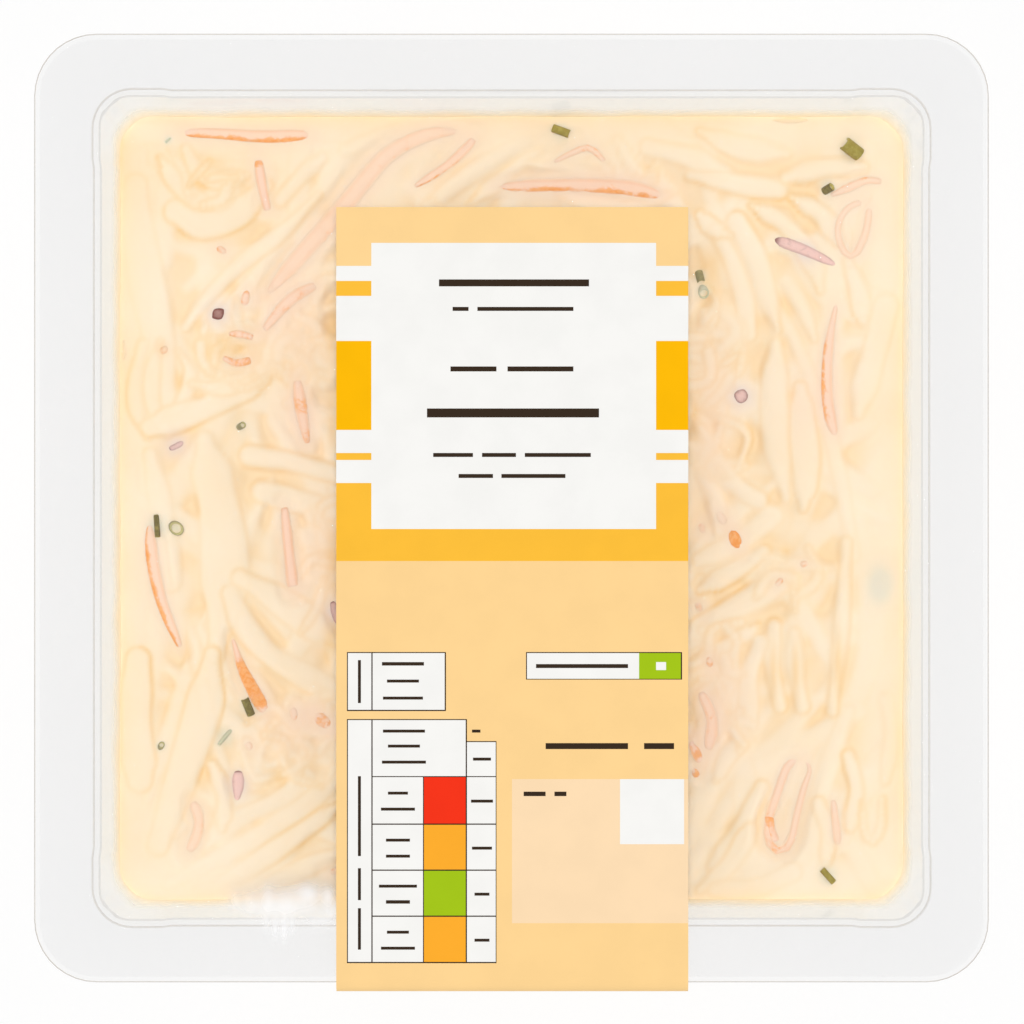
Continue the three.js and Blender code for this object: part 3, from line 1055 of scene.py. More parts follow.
class Bed:
    """The dressing's surface, levelled round what is pressed into it."""

    def __init__(self, surface):
        self.surface = surface
        self.filled = np.zeros_like(surface)

    def press(self, path, half_width, thick, proud, sides=14, taper=0.0):
        """Lays a shred so that its crest stands proud of the dressing round it. A taper thins
        its far half."""
        thinner = 1 - taper * smoothstep(0.4, 1.0, np.linspace(0, 1, len(path)))
        widths = uneven_width(path, half_width, 0.4) * thinner
        ground = eased(relief.at(blurred(self.surface, 0.6 * MM / CELL), *path.T))
        shred = Shred(path, ground + proud - thick, widths, thick, sides)
        cells, gap, rest, _, _ = relief.around(shred)
        level = rest + thick - proud
        near = smoothstep(1.2 * MM, 0, gap)
        self.surface[cells] += (level - self.surface[cells]) * near
        self.filled[cells] = np.maximum(self.filled[cells], smoothstep(0.2 * MM, -0.2 * MM, gap))
        return shred


def bareness(form, amount, begin, end, side):
    """How bare each vertex of a carrot shred is: between two places, and mostly on one side."""
    near = smoothstep(begin - 0.1, begin + 0.08, form.along)
    far = 1 - smoothstep(end - 0.08, end + 0.1, form.along)
    lateral = 1.0 if side == 0 else smoothstep(-0.15, 0.35, form.side * np.sign(side))
    return amount * near * far * lateral


def lay_carrot(bed):
    for width, amount, begin, end, side, *points in CARROT:
        half_width = CARROT_SPREAD * width * PIXEL / 2
        taper = WEDGE_TAPER if amount > 1.25 else 0.0
        path = view_path(points)
        shred = bed.press(path, half_width, CARROT_THICK, CARROT_PROUD, taper=taper)
        form = shred.form()
        tips = smoothstep(0.0, 0.07, form.along) * smoothstep(1.0, 0.93, form.along)
        strength = (0.4 + 0.6 * min(1, 1.3 * amount)) * (0.3 + 0.7 * tips)
        if is_bead(path, half_width):
            strength = 0.45 * strength
        elif side:
            strength = 0.75 * strength
        shred.add_to(
            carrot_heap, top_face, bare=bareness(form, amount, begin, end, side),
            across=np.abs(form.side), strength=strength,
        )


def lay_onion(bed):
    for width, sunk, dark, *points in ONION:
        half_width = ONION_SPREAD * width * PIXEL / 2
        path = view_path(points)
        proud = (0.17 - 0.07 * sunk) * MM
        bead = is_bead(path, half_width)
        shred = bed.press(path, half_width, 0.45 * half_width, proud, 16, 0 if bead else 0.12)
        form = shred.form()
        out = np.hypot(form.side, (2 * form.along - 1) if bead else 0)
        tip = 0 if bead else 1 - smoothstep(0.0, 0.14, form.along)
        rim = (0.75 if bead else 0.25) * smoothstep(0.35, 0.72, out)
        edge = np.clip(np.maximum(rim, tip) + dark, 0, 1)
        shred.add_to(onion_heap, top_face, edge=edge, sunk=0.5 * sunk)


bed = Bed(settled_dressing(relief.heights))
lay_carrot(bed)
carrot_field = bed.filled.copy()
lay_onion(bed)
dressing = bed.surface

# Painted shade: the dressing takes the crease colour along the drawn outlines, in hollows, in the
# listed spots, towards the top left and along the wall, with some random tone.
hollow_shade = smoothstep(0.0, 0.5 * MM, blurred(dressing, 2.8 * MM / CELL) - dressing)
drawn = relief.lines * (1 - 0.5 * cover) * (0.75 + 0.45 * slow_noise(5 * MM, 9))
drawn *= 1 - 0.6 * ellipse_mask(THICKEST_DRESSING)
crease_shade_and_tone_field = np.clip(
    0.1 + 0.75 * blurred(drawn, 0.12 * MM / CELL) + 0.35 * hollow_shade * (1 - by_wall)
    + 0.07 * slow_noise(4 * MM, 8) + 0.55 * ellipse_mask(PAINTED_SHADE_SPOTS)
    + 0.2 * ellipse_mask(WARM_CORNER)
    # painted shade that keeps the filling darker next to the wall
    + 0.22 * np.exp(-np.maximum(from_wall, 0) / (1.6 * MM)), 0, 1
)
# Carrot colour near carrot, plus the blushes, which along the label's edges paint its shade.
pink_field = np.clip(
    0.7 * blurred(carrot_field, 0.8 * MM / CELL) + 0.55 * ellipse_mask(BLUSHES_AND_LABEL_SHADE), 0, 1
)
green_field = ellipse_mask([
    (x, y, length * 0.5 + 3, length * 0.5 + 3) for x, y, length, *_ in CHIVES
])
# The painted reflection on the film tints the dressing grey-green and lilac.
film_reflection_spot = ellipse_mask(FILM_REFLECTION_SPOT)
green_field = np.clip(np.maximum(green_field, 1.5 * film_reflection_spot), 0, 1)
lilac_field = ellipse_mask([
    ((points[0][0] + points[-1][0]) / 2, (points[0][1] + points[-1][1]) / 2, 18, 18)
    for _, _, _, *points in ONION
])
lilac_field = np.maximum(lilac_field, 0.25 * film_reflection_spot)


def tints(points):
    """The colours that neighbours lend to points on top of the filling, and the painted shade of
    creases and hollows.
    """
    x, y, z = points.T
    on_top = smoothstep(FILL - 3.5 * MM, FILL - 2.5 * MM, z)
    fields = {"crease_shade_and_tone": crease_shade_and_tone_field, "pink": pink_field, "green": green_field, "lilac": lilac_field}
    return {name: relief.at(field, x, y) * on_top for name, field in fields.items()}


def dense_beside_label(u):
    """Spreads columns so that those under the label, which nobody sees, lie wider apart."""
    half = wall_half(FILL)
    label_edges = [below_view(x, TRAY_MIDDLE[1], FILL)[0] for x in (344, 680)]
    places = np.array([-half, *label_edges, half]) / half
    cells = np.diff(places) * [1, 0.45, 1]
    steps = np.concatenate([[0], np.cumsum(cells)]) / cells.sum() * 2 - 1
    return np.interp(u, steps, places)


INTO_WALL = 0.05 * MM


def core_points(u, v, row):
    """Where the core's skin runs. Row 0 is its top, the others go down the walls to row 1."""
    half = wall_half(FILL)
    u = dense_beside_label(u)
    x, y = on_rounded_square(u, v, half, wall_corner(FILL))
    edge = half * (1 - np.maximum(np.abs(u), np.abs(v)))
    climb = (0.28 + 0.12 * relief.at(slow_noise(4 * MM, 6), x, y)) * MM
    top = relief.at(dressing, x, y) + climb * np.exp(-edge / (0.9 * MM))
    spread = 1 + (wall_half(top) - half + INTO_WALL) / half * np.exp(-edge / (0.8 * MM))

    foot = BASE_FILLET - WALL
    upper = 0.25  # the share of the rows that lie on the straight walls
    straight = np.clip(row / upper, 0, 1)
    round_foot = np.clip((row - upper) / (1 - upper), 0, 1)
    turn = (math.pi / 2 - DRAFT) * round_foot
    foot_top = FLOOR + foot * (1 - math.sin(DRAFT))
    level = np.where(
        row <= upper, top * (1 - straight) + foot_top * straight,
        FLOOR + foot * (1 - np.sin(DRAFT + turn)),
    ) - INTO_WALL * round_foot
    inset = foot * (math.cos(DRAFT) - np.cos(DRAFT + turn)) * (round_foot > 0)
    ring_half = np.where(round_foot > 0, wall_half(foot_top), wall_half(level)) + INTO_WALL - inset
    ring_radius = np.maximum(wall_corner(level) + INTO_WALL - inset, 2 * MM)
    ring_x, ring_y = on_rounded_square(u, v, ring_half, ring_radius)
    on_top = row == 0
    return np.column_stack([
        np.where(on_top, x * spread, ring_x), np.where(on_top, y * spread, ring_y), level,
    ])


def dressing_piece(cells=298, rows=8):
    """The core: its top follows the dressing, its sides and base reach just into the tray."""
    bpy.ops.mesh.primitive_grid_add(x_subdivisions=cells, y_subdivisions=cells, size=2)
    piece = bpy.context.object
    piece.name = piece.data.name = "slaw_dressing"
    piece.data.attributes.new("row", "FLOAT", "POINT")
    bpy.ops.object.mode_set(mode="EDIT")
    bpy.ops.mesh.select_all(action="DESELECT")
    bpy.ops.mesh.select_non_manifold()
    for step in range(1, rows + 1):
        bpy.ops.mesh.extrude_region_move()
        edit = bmesh.from_edit_mesh(piece.data)
        row = edit.verts.layers.float["row"]
        for vertex in edit.verts:
            if vertex.select:
                vertex[row] = step / rows
    bpy.ops.mesh.edge_face_add()
    bpy.ops.object.mode_set(mode="OBJECT")
    mesh = piece.data
    places = np.empty(len(mesh.vertices) * 3)
    rows_down = np.empty(len(mesh.vertices))
    mesh.vertices.foreach_get("co", places)
    mesh.attributes["row"].data.foreach_get("value", rows_down)
    u, v, _ = places.reshape(-1, 3).T
    points = core_points(u, v, rows_down)
    mesh.vertices.foreach_set("co", points.ravel())
    set_values(mesh, tints(points))
    bpy.ops.object.mode_set(mode="EDIT")
    face_outwards()
    shade(piece, 55)
    return piece


# ---- the sides and the base ----
WALL_CABBAGE = 190
WALL_CARROTS = 30
WALL_ONION = 16
WALL_CHIVES = 26
BASE_CABBAGE = 75
BASE_CARROTS = 12
BASE_CHIVES = 8
FLATTENED = {"across": 0.3, "strength": 1.0}  # how carrot looks where it lies against the tray


def wall_path(length, bow):
    """A mostly level path on the walls, from just above the foot to just under the surface."""
    low = FLOOR + 4.5 * MM
    high = FILL - 3.0 * MM
    centre = np.array([random.uniform(0, 4 * SIDE_LENGTH), random.uniform(low, high)])
    path = bowed_path(centre, random.normal(0, 0.55), length, bow)
    path[:, 1] = np.clip(path[:, 1], low - 1.5 * MM, high + 1.2 * MM)
    return evenly(path)


def press_on_side(heap, face, path, half_width, show_through, **values):
    """A shred pressed flat against the tray, so that a strip of it shows through the wall."""
    thick = 0.35 * half_width
    rise = np.full(len(path), show_through - thick)
    shred = Shred(path, rise, uneven_width(path, half_width), thick, 8)
    shred.add_to(heap, face, **values)


def press_cabbage(face, path):
    half_width = random.uniform(0.9, 2.0) * MM
    show_through = random.uniform(0.1, 0.3) * MM
    press_on_side(cabbage_heap, face, path, half_width, show_through, shade=random.random())


def press_filling_on_sides():
    for _ in range(WALL_CABBAGE):
        length = random.uniform(9, 34) * MM
        press_cabbage(wall_face, wall_path(length, length * 0.2))
    for _ in range(WALL_CARROTS):
        length = random.uniform(8, 26) * MM
        path = wall_path(length, length * 0.15)
        bare = random.uniform(0, 0.9)
        press_on_side(carrot_heap, wall_face, path, random.uniform(0.7, 1.2) * MM,
                      random.uniform(0.22, 0.34) * MM, bare=bare, **FLATTENED)
    reach = wall_half(FLOOR) - 8 * MM
    for _ in range(BASE_CABBAGE):
        length = random.uniform(9, 34) * MM
        path = random_path(reach, reach, length, length * 0.2)
        press_cabbage(floor_face, evenly(np.clip(path, -reach - 2 * MM, reach + 2 * MM)))
    reach -= 3 * MM
    for _ in range(BASE_CARROTS):
        length = random.uniform(8, 24) * MM
        path = random_path(reach, reach, length, length * 0.15)
        press_on_side(carrot_heap, floor_face, path, random.uniform(0.7, 1.2) * MM,
                      random.uniform(0.22, 0.34) * MM, bare=random.uniform(0, 0.9), **FLATTENED)


# ---- chives and onion ----
def unit_chive():
    """A short cut tube, 2 long and 2 across, with soft cut edges."""
    bpy.ops.mesh.primitive_cylinder_add(vertices=16, radius=1, depth=2, end_fill_type="NOTHING")
    tube = bpy.context.object
    wall = tube.modifiers.new("wall", "SOLIDIFY")
    wall.thickness = 0.3
    wall.offset = -1
    round_edges = tube.modifiers.new("round_edges", "BEVEL")
    round_edges.width = 0.08
    round_edges.segments = 1
    round_edges.limit_method = "ANGLE"
    bpy.ops.object.modifier_apply(modifier="wall")
    bpy.ops.object.modifier_apply(modifier="round_edges")
    form = Form(tube)
    inner = np.hypot(form.points[:, 0], form.points[:, 1]) < 0.8
    form.cut = np.maximum(0.3 * smoothstep(0.86, 0.97, np.abs(form.points[:, 2])), inner)
    return form


def turned(points, heading, tilt):
    """Points turned up from lying along X by tilt, then round Z by heading."""
    lie = Matrix.Rotation(math.pi / 2 - tilt, 3, "Y")
    swing = Matrix.Rotation(heading, 3, "Z")
    return points @ np.array(swing @ lie).T


def chives_piece():
    form = unit_chive()
    heap = Heap()

    def add_cut(centre, length, width, heading, tilt, sunk, dark=0.3):
        scaled = form.points * [width / 2, width / 2 * 0.8, length / 2]
        ends = np.abs(form.points[:, 2])
        scaled[:, :2] *= 1 - random.uniform(0.02, 0.2) * ends[:, None] ** 2
        scaled[:, 2] += random.uniform(-0.3, 0.3) * scaled[:, 0] * ends
        points = turned(scaled, heading, tilt) + centre
        edge = 0.3 * smoothstep(0.75, 0.98, ends)
        heap.add(form, points, cut=form.cut, sunk=sunk, dark=np.clip(dark + edge, 0, 1))

    levels = blurred(dressing, 0.8 * MM / CELL)
    for x, y, length, width, heading, stand, sunk, dark in CHIVES:
        px, py = below_view(x, y, FILL)
        surface = float(relief.at(levels, px, py))
        centre = (px, py, surface + (0.14 - 0.4 * sunk) * width * PIXEL)
        add_cut(centre, length * PIXEL, width * PIXEL, math.radians(heading),
                stand * math.pi / 2, 0.75 * sunk, dark)
    for _ in range(WALL_CHIVES):
        a = random.uniform(0, 4 * SIDE_LENGTH)
        b = random.uniform(FLOOR + 5 * MM, FILL - 3 * MM)
        width = random.uniform(1.2, 1.9) * MM
        spot = wall_face(np.array([a]), np.array([b]), np.array([-0.3 * width]))[0]
        side_turn = math.pi / 2 * (int(a // SIDE_LENGTH) % 4 + 1)
        add_cut(spot, random.uniform(1.0, 2.4) * MM, width, side_turn,
                random.normal(0, 0.4), random.uniform(0, 0.3))
    reach = 0.75 * (wall_half(FILL) - 6 * MM)
    for _ in range(BASE_CHIVES):
        x, y = random.uniform(-reach, reach, 2)
        width = random.uniform(1.2, 1.9) * MM
        add_cut((x, y, FLOOR + 0.3 * width), random.uniform(1.0, 2.4) * MM, width,
                random.uniform(0, 6.28), 0.0, 0.1)
    return heap.build("slaw_chives")


def press_onion_on_walls():
    for _ in range(WALL_ONION):
        path = wall_path(random.uniform(3, 10) * MM, 0.5 * MM)
        half_width = random.uniform(0.7, 1.3) * MM
        thick = 0.35 * half_width
        rise = np.full(len(path), 0.27 * MM - thick)
        shred = Shred(path, rise, np.full(len(path), half_width), thick, 10)
        rim = np.abs(shred.form().side) ** 3 * 0.8
        shred.add_to(onion_heap, wall_face, edge=rim, sunk=random.uniform(0, 0.4))


# ---- tray and film ----
def rounded_face(half_x, half_y, radius, z, segments):
    """A flat face with round corners, left in edit mode and selected."""
    bpy.ops.mesh.primitive_plane_add(size=2, location=(0, 0, z))
    piece = bpy.context.object
    piece.scale = (half_x, half_y, 1)
    bpy.ops.object.transform_apply(location=True, rotation=True, scale=True)
    bpy.ops.object.mode_set(mode="EDIT")
    bpy.ops.mesh.select_all(action="SELECT")
    bpy.ops.mesh.bevel(affect="VERTICES", offset=radius, segments=segments, profile=0.5)
    bpy.ops.mesh.select_all(action="SELECT")
    return piece


def corner_spoke(point, half_x, half_y, radius):
    """The outward direction at a point of a round-cornered outline, without its signs."""
    across = max(0.0, abs(point.x) - (half_x - radius))
    down = max(0.0, abs(point.y) - (half_y - radius))
    return Vector((across, down)).normalized()


def reshape_selected(mesh, old, new, lit):
    """Moves the selected outline from one level to the next. A level is (half_x, half_y,
    radius, z); straight stretches stay in line with their corners."""
    edit = bmesh.from_edit_mesh(mesh)
    shown = edit.verts.layers.float["lit"]
    for vertex in edit.verts:
        if not vertex.select:
            continue
        vertex[shown] = lit
        spoke = corner_spoke(vertex.co, *old[:3])
        vertex.co.x = math.copysign(new[0] - new[2] + new[2] * spoke.x, vertex.co.x)
        vertex.co.y = math.copysign(new[1] - new[2] + new[2] * spoke.y, vertex.co.y)
        vertex.co.z = new[3]
    bmesh.update_edit_mesh(mesh)


def extruded_shell(name, levels, lit_from, segments=9):
    """A closed skin: a round-cornered face extruded through each level in turn."""
    piece = rounded_face(*levels[0], segments)
    bmesh.from_edit_mesh(piece.data).verts.layers.float.new("lit")
    for number, (old, new) in enumerate(zip(levels, levels[1:]), 1):
        bpy.ops.mesh.extrude_region_move()
        reshape_selected(piece.data, old, new, float(number >= lit_from))
    face_outwards()
    piece.name = piece.data.name = name
    return piece


def foot_levels(half, floor, fillet, steps=7):
    """The round foot of a tapered wall, from the flat upwards."""
    centre = half - fillet * (1 - math.sin(DRAFT)) / math.cos(DRAFT)
    levels = []
    for step in range(steps + 1):
        turn = -math.pi / 2 + (math.pi / 2 - DRAFT) * step / steps
        reach = centre + fillet * math.cos(turn)
        z = floor + fillet * (1 + math.sin(turn))
        levels.append((reach, reach, float(wall_corner(z)) - max(0.0, half - reach), z))
    return levels


def flange_level(inset, z):
    return (FLANGE_X - inset, FLANGE_Y - inset, FLANGE_CORNER - inset, z)


def mouth_level(outset, z):
    return (OPENING + outset, OPENING + outset, OPENING_CORNER + outset, z)


def edge_steps(steps=4):
    """Inset and drop of a small quarter round, from its side to its top."""
    turns = [math.pi / 2 * step / steps for step in range(steps + 1)]
    return [(EDGE_ROUND * (1 - math.cos(t)), EDGE_ROUND * (1 - math.sin(t))) for t in turns]


def tray_piece():
    skin = WALL / math.cos(DRAFT)
    under_step = STEP - WALL
    outer = wall_half(under_step) + skin
    soft = 0.25 * MM  # the small rounds of the stacking step
    outside = [
        *foot_levels(wall_half(BASE) + skin, BASE, BASE_FILLET),
        (outer, outer, STEP_CORNER, under_step),
        mouth_level(WALL, under_step),
        mouth_level(WALL, TOP - WALL),
        flange_level(2 * WALL, TOP - WALL),
        flange_level(WALL, TOP - 2 * WALL),
        flange_level(WALL, TOP - LIP_DROP),
    ]
    levels = outside + [
        flange_level(0, TOP - LIP_DROP),
        *[flange_level(inset, TOP - drop) for inset, drop in edge_steps()],
        *[mouth_level(outset, TOP - drop) for outset, drop in reversed(edge_steps())],
        mouth_level(0, STEP + soft),
        mouth_level(-soft, STEP),
        (wall_half(STEP) + soft, wall_half(STEP) + soft, STEP_CORNER + soft, STEP),
        (wall_half(STEP - soft),) * 2 + (STEP_CORNER, STEP - soft),
        *reversed(foot_levels(wall_half(FLOOR), FLOOR, BASE_FILLET - WALL)),
    ]
    piece = extruded_shell("tray_shell", levels, len(outside))
    add_lugs(piece)
    shade(piece, 35)
    return piece


def add_lugs(piece):
    """Lets the corners of the mouth and its step stand out a little."""
    bpy.ops.object.mode_set(mode="EDIT")
    for reach in (OPENING - LUG_REACH, OPENING - LUG_REACH - LUG_JOG):
        for normal in ((1, 0, 0), (-1, 0, 0), (0, 1, 0), (0, -1, 0)):
            bpy.ops.mesh.select_all(action="SELECT")
            point = Vector(normal) * reach
            bpy.ops.mesh.bisect(plane_co=point, plane_no=normal)
    edit = bmesh.from_edit_mesh(piece.data)
    reach = OPENING - LUG_REACH - LUG_JOG / 2
    for vertex in edit.verts:
        x, y, z = vertex.co
        near_mouth = abs(max(abs(x), abs(y)) - OPENING) < 1.2 * MM
        in_corner = abs(x) > reach and abs(y) > reach
        if near_mouth and in_corner and STEP - 1.0 * MM < z < TOP - 0.01 * MM:
            spoke = corner_spoke(vertex.co, OPENING, OPENING, OPENING_CORNER)
            vertex.co.x += math.copysign(LUG_OUT * spoke.x, x)
            vertex.co.y += math.copysign(LUG_OUT * spoke.y, y)
    bmesh.update_edit_mesh(piece.data)
    bpy.ops.object.mode_set(mode="OBJECT")


def clear_far_skin(piece, finish):
    """Gives a shell's faces that aren't lit the finish of its far skin."""
    piece.data.materials.append(finish)
    lit = np.empty(len(piece.data.vertices))
    piece.data.attributes["lit"].data.foreach_get("value", lit)
    for face in piece.data.polygons:
        face.material_index = int(lit[list(face.vertices)].mean() < 0.6)


FILM_INSET = 0.8 * MM
FILM_ROOM = 0.1 * MM  # for the film's thickness and its waves
FILM_THICK = 0.6 * FILM_ROOM
CRINKLE_MIDDLE = below_view(306, 902)
CRINKLE_REACH = (7.0 * MM, 6.0 * MM)
FINE_REACH = (11.9 * MM, 10.8 * MM)  # where the film's grid is fine enough for crinkles
FINE_CUTS = 6

# Painted glare that turns the film white over its crinkles: view point, reach across and down, and
# how white.
GLARE_SPOTS = (
    (284, 902, 62, 26, 0.7),
    (308, 895, 17, 16, 0.85),
    (328, 897, 10, 15, 0.8),
    (268, 900, 8, 19, 0.5),
    (250, 903, 11, 14, 0.35),
    (236, 900, 10, 14, 0.3),
    (287, 905, 12, 17, 0.35),
    (266, 924, 5, 15, 0.3),
    (275, 928, 5, 16, 0.55),
    (284, 929, 5, 18, 0.65),
    (292, 926, 5, 14, 0.4),
    (318, 921, 18, 10, 0.35),
    (330, 913, 10, 13, 0.4),
)
film_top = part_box("film")[1].z


def smooth_start(inward):
    return min(1.0, inward / 0.12) ** 0.7


def film_height(x, y):
    """How high the film stands at a point: nearly flat, but at the front left it sags in folds
    just inside the mouth and lifts a little on the flange."""
    wave = 0.02 * MM * math.sin(x / (19 * MM)) * math.cos(y / (23 * MM))
    aside = (x - CRINKLE_MIDDLE[0]) / CRINKLE_REACH[0]
    inward = (y + OPENING) / (6.5 * MM)
    folds = math.cos(6.4 * aside + 1.3 * inward)
    around = math.exp(-((aside - 0.15) ** 2) * 1.7)
    if inward > 0:
        sag = 0.62 * inward * math.exp(1 - inward) * (1 + 0.22 * folds) * smooth_start(inward)
        return wave - MM * sag * around
    ridge = math.exp(-(((inward + 0.26 + 0.08 * aside) / 0.16) ** 2))
    return wave + MM * 0.12 * ridge * around * (0.6 + 0.4 * math.cos(9 * aside + 1))


def painted_glare(x, y):
    """How white the film is at points, by the painted glare of crinkles nearby."""
    white = np.zeros_like(x)
    for middle_x, middle_y, across, down, amount in GLARE_SPOTS:
        cx, cy = below_view(middle_x, middle_y)
        apart = np.hypot((x - cx) / (across * PIXEL), (y - cy) / (down * PIXEL))
        white = 1 - (1 - white) * (1 - amount * np.exp(-2.2 * apart**2))
    return white


def film_piece():
    """The sealed film, as a thin closed sheet with a few crinkles left by the sealing."""
    bpy.ops.mesh.primitive_grid_add(x_subdivisions=60, y_subdivisions=60, size=2)
    piece = bpy.context.object
    piece.name = piece.data.name = "sealed_film"
    half = FLANGE_X - FILM_INSET
    corner = FLANGE_CORNER - FILM_INSET
    squeeze = (FLANGE_Y - FILM_INSET) / half
    for vertex in piece.data.vertices:
        x, y = on_rounded_square(vertex.co.x, vertex.co.y, half, corner)
        vertex.co = (float(x), float(y) * squeeze, 0)
    bpy.ops.object.mode_set(mode="EDIT")
    bpy.ops.mesh.select_all(action="DESELECT")
    edit = bmesh.from_edit_mesh(piece.data)
    for face in edit.faces:
        middle = face.calc_center_median()
        near_x = abs(middle.x - CRINKLE_MIDDLE[0]) < FINE_REACH[0]
        near_y = abs(middle.y - CRINKLE_MIDDLE[1]) < FINE_REACH[1]
        face.select = near_x and near_y
    bmesh.update_edit_mesh(piece.data)
    bpy.ops.mesh.subdivide(number_cuts=FINE_CUTS)
    bpy.ops.object.mode_set(mode="OBJECT")
    base = film_top - FILM_ROOM
    for vertex in piece.data.vertices:
        vertex.co.z = base + film_height(vertex.co.x, vertex.co.y)
    lower = len(piece.data.vertices)
    thickness = piece.modifiers.new("thickness", "SOLIDIFY")
    thickness.thickness = FILM_THICK
    thickness.offset = 1
    bpy.ops.object.modifier_apply(modifier="thickness")
    places = np.array([vertex.co for vertex in piece.data.vertices])
    first_is_upper = places[:lower, 2].mean() > places[lower:, 2].mean()
    is_first = np.arange(len(places)) < lower
    # Painted glare over the film's crinkles.
    glare_white = painted_glare(places[:, 0], places[:, 1])
    set_values(piece.data, {"lit": is_first == first_is_upper, "glare_white": glare_white})
    shade(piece, 40)
    return piece


# ---- label ----
label_low, label_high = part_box("label")
LABEL_THICK = label_high.z - film_top
FLANGE_BEND = 1.5 * MM
BASE_BEND = 5.4 * MM
BASE_BEND_SLACK = 0.6 * MM
BEND_STEPS = 14
LABEL_REAR_TOP = 40.0 * MM
LABEL_REAR_BASE = 15.0 * MM
LABEL_FRONT = 64.1 * MM

# Printed fields on the top of the label, in view pixels: left, top, right, bottom and ink.
LEFT, RIGHT = 330, 695  # past both edges of the label
STRIPES = (
    (266, 281, "white"), (281, 296, "amber"), (296, 341, "white"), (341, 430, "yolk"),
    (430, 453, "white"), (453, 460, "amber"), (460, 483, "white"), (483, 529, "amber"),
)
ROWS = (777, 824, 870, 916, 963)
UPRIGHT_BARS = ((660, 703), (776, 856), (868, 900), (908, 950))
RULE = 1.3  # width of a printed line

# Plain bars where rows of words would stand: how far down the middle of the row lies, its
# centre, how high the bars are and how long each is.
BARS = (
    (283, 514, 7, 150), (309, 513, 4, 16, 96), (369, 512, 5, 46, 66), (413, 513, 9, 172),
    (455, 512, 4, 40, 34, 66), (476, 512, 4, 34, 64),
    (664, 403, 3, 42), (681, 403, 3, 32), (698, 403, 3, 40),
    (731, 404, 3, 42), (746, 404, 3, 32), (762, 404, 3, 44), (731, 476, 3, 9),
    (793, 398, 3, 20), (809, 398, 3, 34), (840, 398, 3, 24), (856, 398, 3, 24),
    (886, 398, 3, 38), (902, 398, 3, 24), (932, 398, 3, 22), (948, 398, 3, 34),
    (759, 482, 3, 18), (801, 482, 3, 22), (848, 482, 3, 20), (894, 482, 3, 15),
    (940, 482, 3, 15),
    (666, 582, 4, 92), (746, 587, 6, 82), (746, 659, 6, 30), (794, 545, 4, 22, 12),
)


def outline(left, top, right, bottom):
    """Four thin rules round a box."""
    return [
        (left, top, right, top + RULE, "brown"), (left, bottom - RULE, right, bottom, "brown"),
        (left, top, left + RULE, bottom, "brown"), (right - RULE, top, right, bottom, "brown"),
    ]


def upright_rule(left, top, bottom):
    return (left, top, left + RULE, bottom, "brown")


def bars(middle, centre, high, *lengths):
    """A centred row of plain bars."""
    gap = 2.2 * high
    total = sum(lengths) + gap * (len(lengths) - 1)
    left = centre - total / 2
    row = []
    for length in lengths:
        row.append((left, middle - high / 2, left + length, middle + high / 2, "brown"))
        left += length + gap
    return row


def top_fields():
    """Every printed field on top. Where fields overlap, the later one shows."""
    fields = [(LEFT, top, RIGHT, bottom, name) for top, bottom, name in STRIPES]
    fields += [(LEFT, 529, RIGHT, 561, "amber"), (372, 243, 656, 529, "white")]
    fields += [(348, 653, 446, 711, "white"), *outline(347, 652, 446, 711)]
    fields += [(348, 720, 466, 962, "white"), (466, 742, 496, 962, "white")]
    cells = zip(ROWS, ROWS[1:], ("red", "orange", "green", "orange"))
    fields += [(424, top, 466, bottom, name) for top, bottom, name in cells]
    fields += outline(347, 719, 467, 963) + outline(466, 741, 497, 963)
    fields += [upright_rule(371.4, 652, 711), upright_rule(371.4, 719, 963)]
    fields += [upright_rule(423.2, 777, 963)]
    fields += [(371.4, y - RULE / 2, 497, y + RULE / 2, "brown") for y in ROWS[:-1]]
    fields += [(527, 653, 639, 679, "white"), (639, 653, 682, 679, "green")]
    fields += [*outline(526, 652, 682, 680), (656, 662, 666, 670, "white")]
    fields += [(512, 779, RIGHT, 923, "peach"), (620, 779, 684, 844, "white")]
    fields += [(358, top, 361, bottom, "brown") for top, bottom in UPRIGHT_BARS]
    for row in BARS:
        fields += bars(*row)
    return fields


def label_path():
    """The strip's inner face in the YZ plane as (length so far, y, z), with close steps round
    its two bends. Each bend is given by its centre and radius, and by the angles of the face's
    outward normal at both ends."""
    skin = WALL / math.cos(DRAFT)
    foot = wall_half(BASE) + skin - BASE_FILLET * (1 - math.sin(DRAFT)) / math.cos(DRAFT)
    upper = Vector((FLANGE_BEND - LABEL_FRONT, film_top - FLANGE_BEND))
    lower = Vector((-foot - BASE_BEND_SLACK, BASE + BASE_BEND))
    between = lower - upper
    swing = math.acos((FLANGE_BEND - BASE_BEND) / between.length)
    outward = (math.atan2(between.y, between.x) - swing) % (2 * math.pi)
    stations = [(LABEL_REAR_TOP, film_top)]
    for centre, radius, begin, end in (
        (upper, FLANGE_BEND, math.pi / 2, outward), (lower, BASE_BEND, outward, 1.5 * math.pi),
    ):
        for step in range(BEND_STEPS + 1):
            turn = begin + (end - begin) * step / BEND_STEPS
            y = centre.x + radius * math.cos(turn)
            stations.append((y, centre.y + radius * math.sin(turn)))
    stations.append((LABEL_REAR_BASE, BASE))
    gone = 0.0
    path = [(gone, *stations[0])]
    for (y0, z0), (y, z) in zip(stations, stations[1:]):
        gone += math.hypot(y - y0, z - z0)
        path.append((gone, y, z))
    return np.array(path)


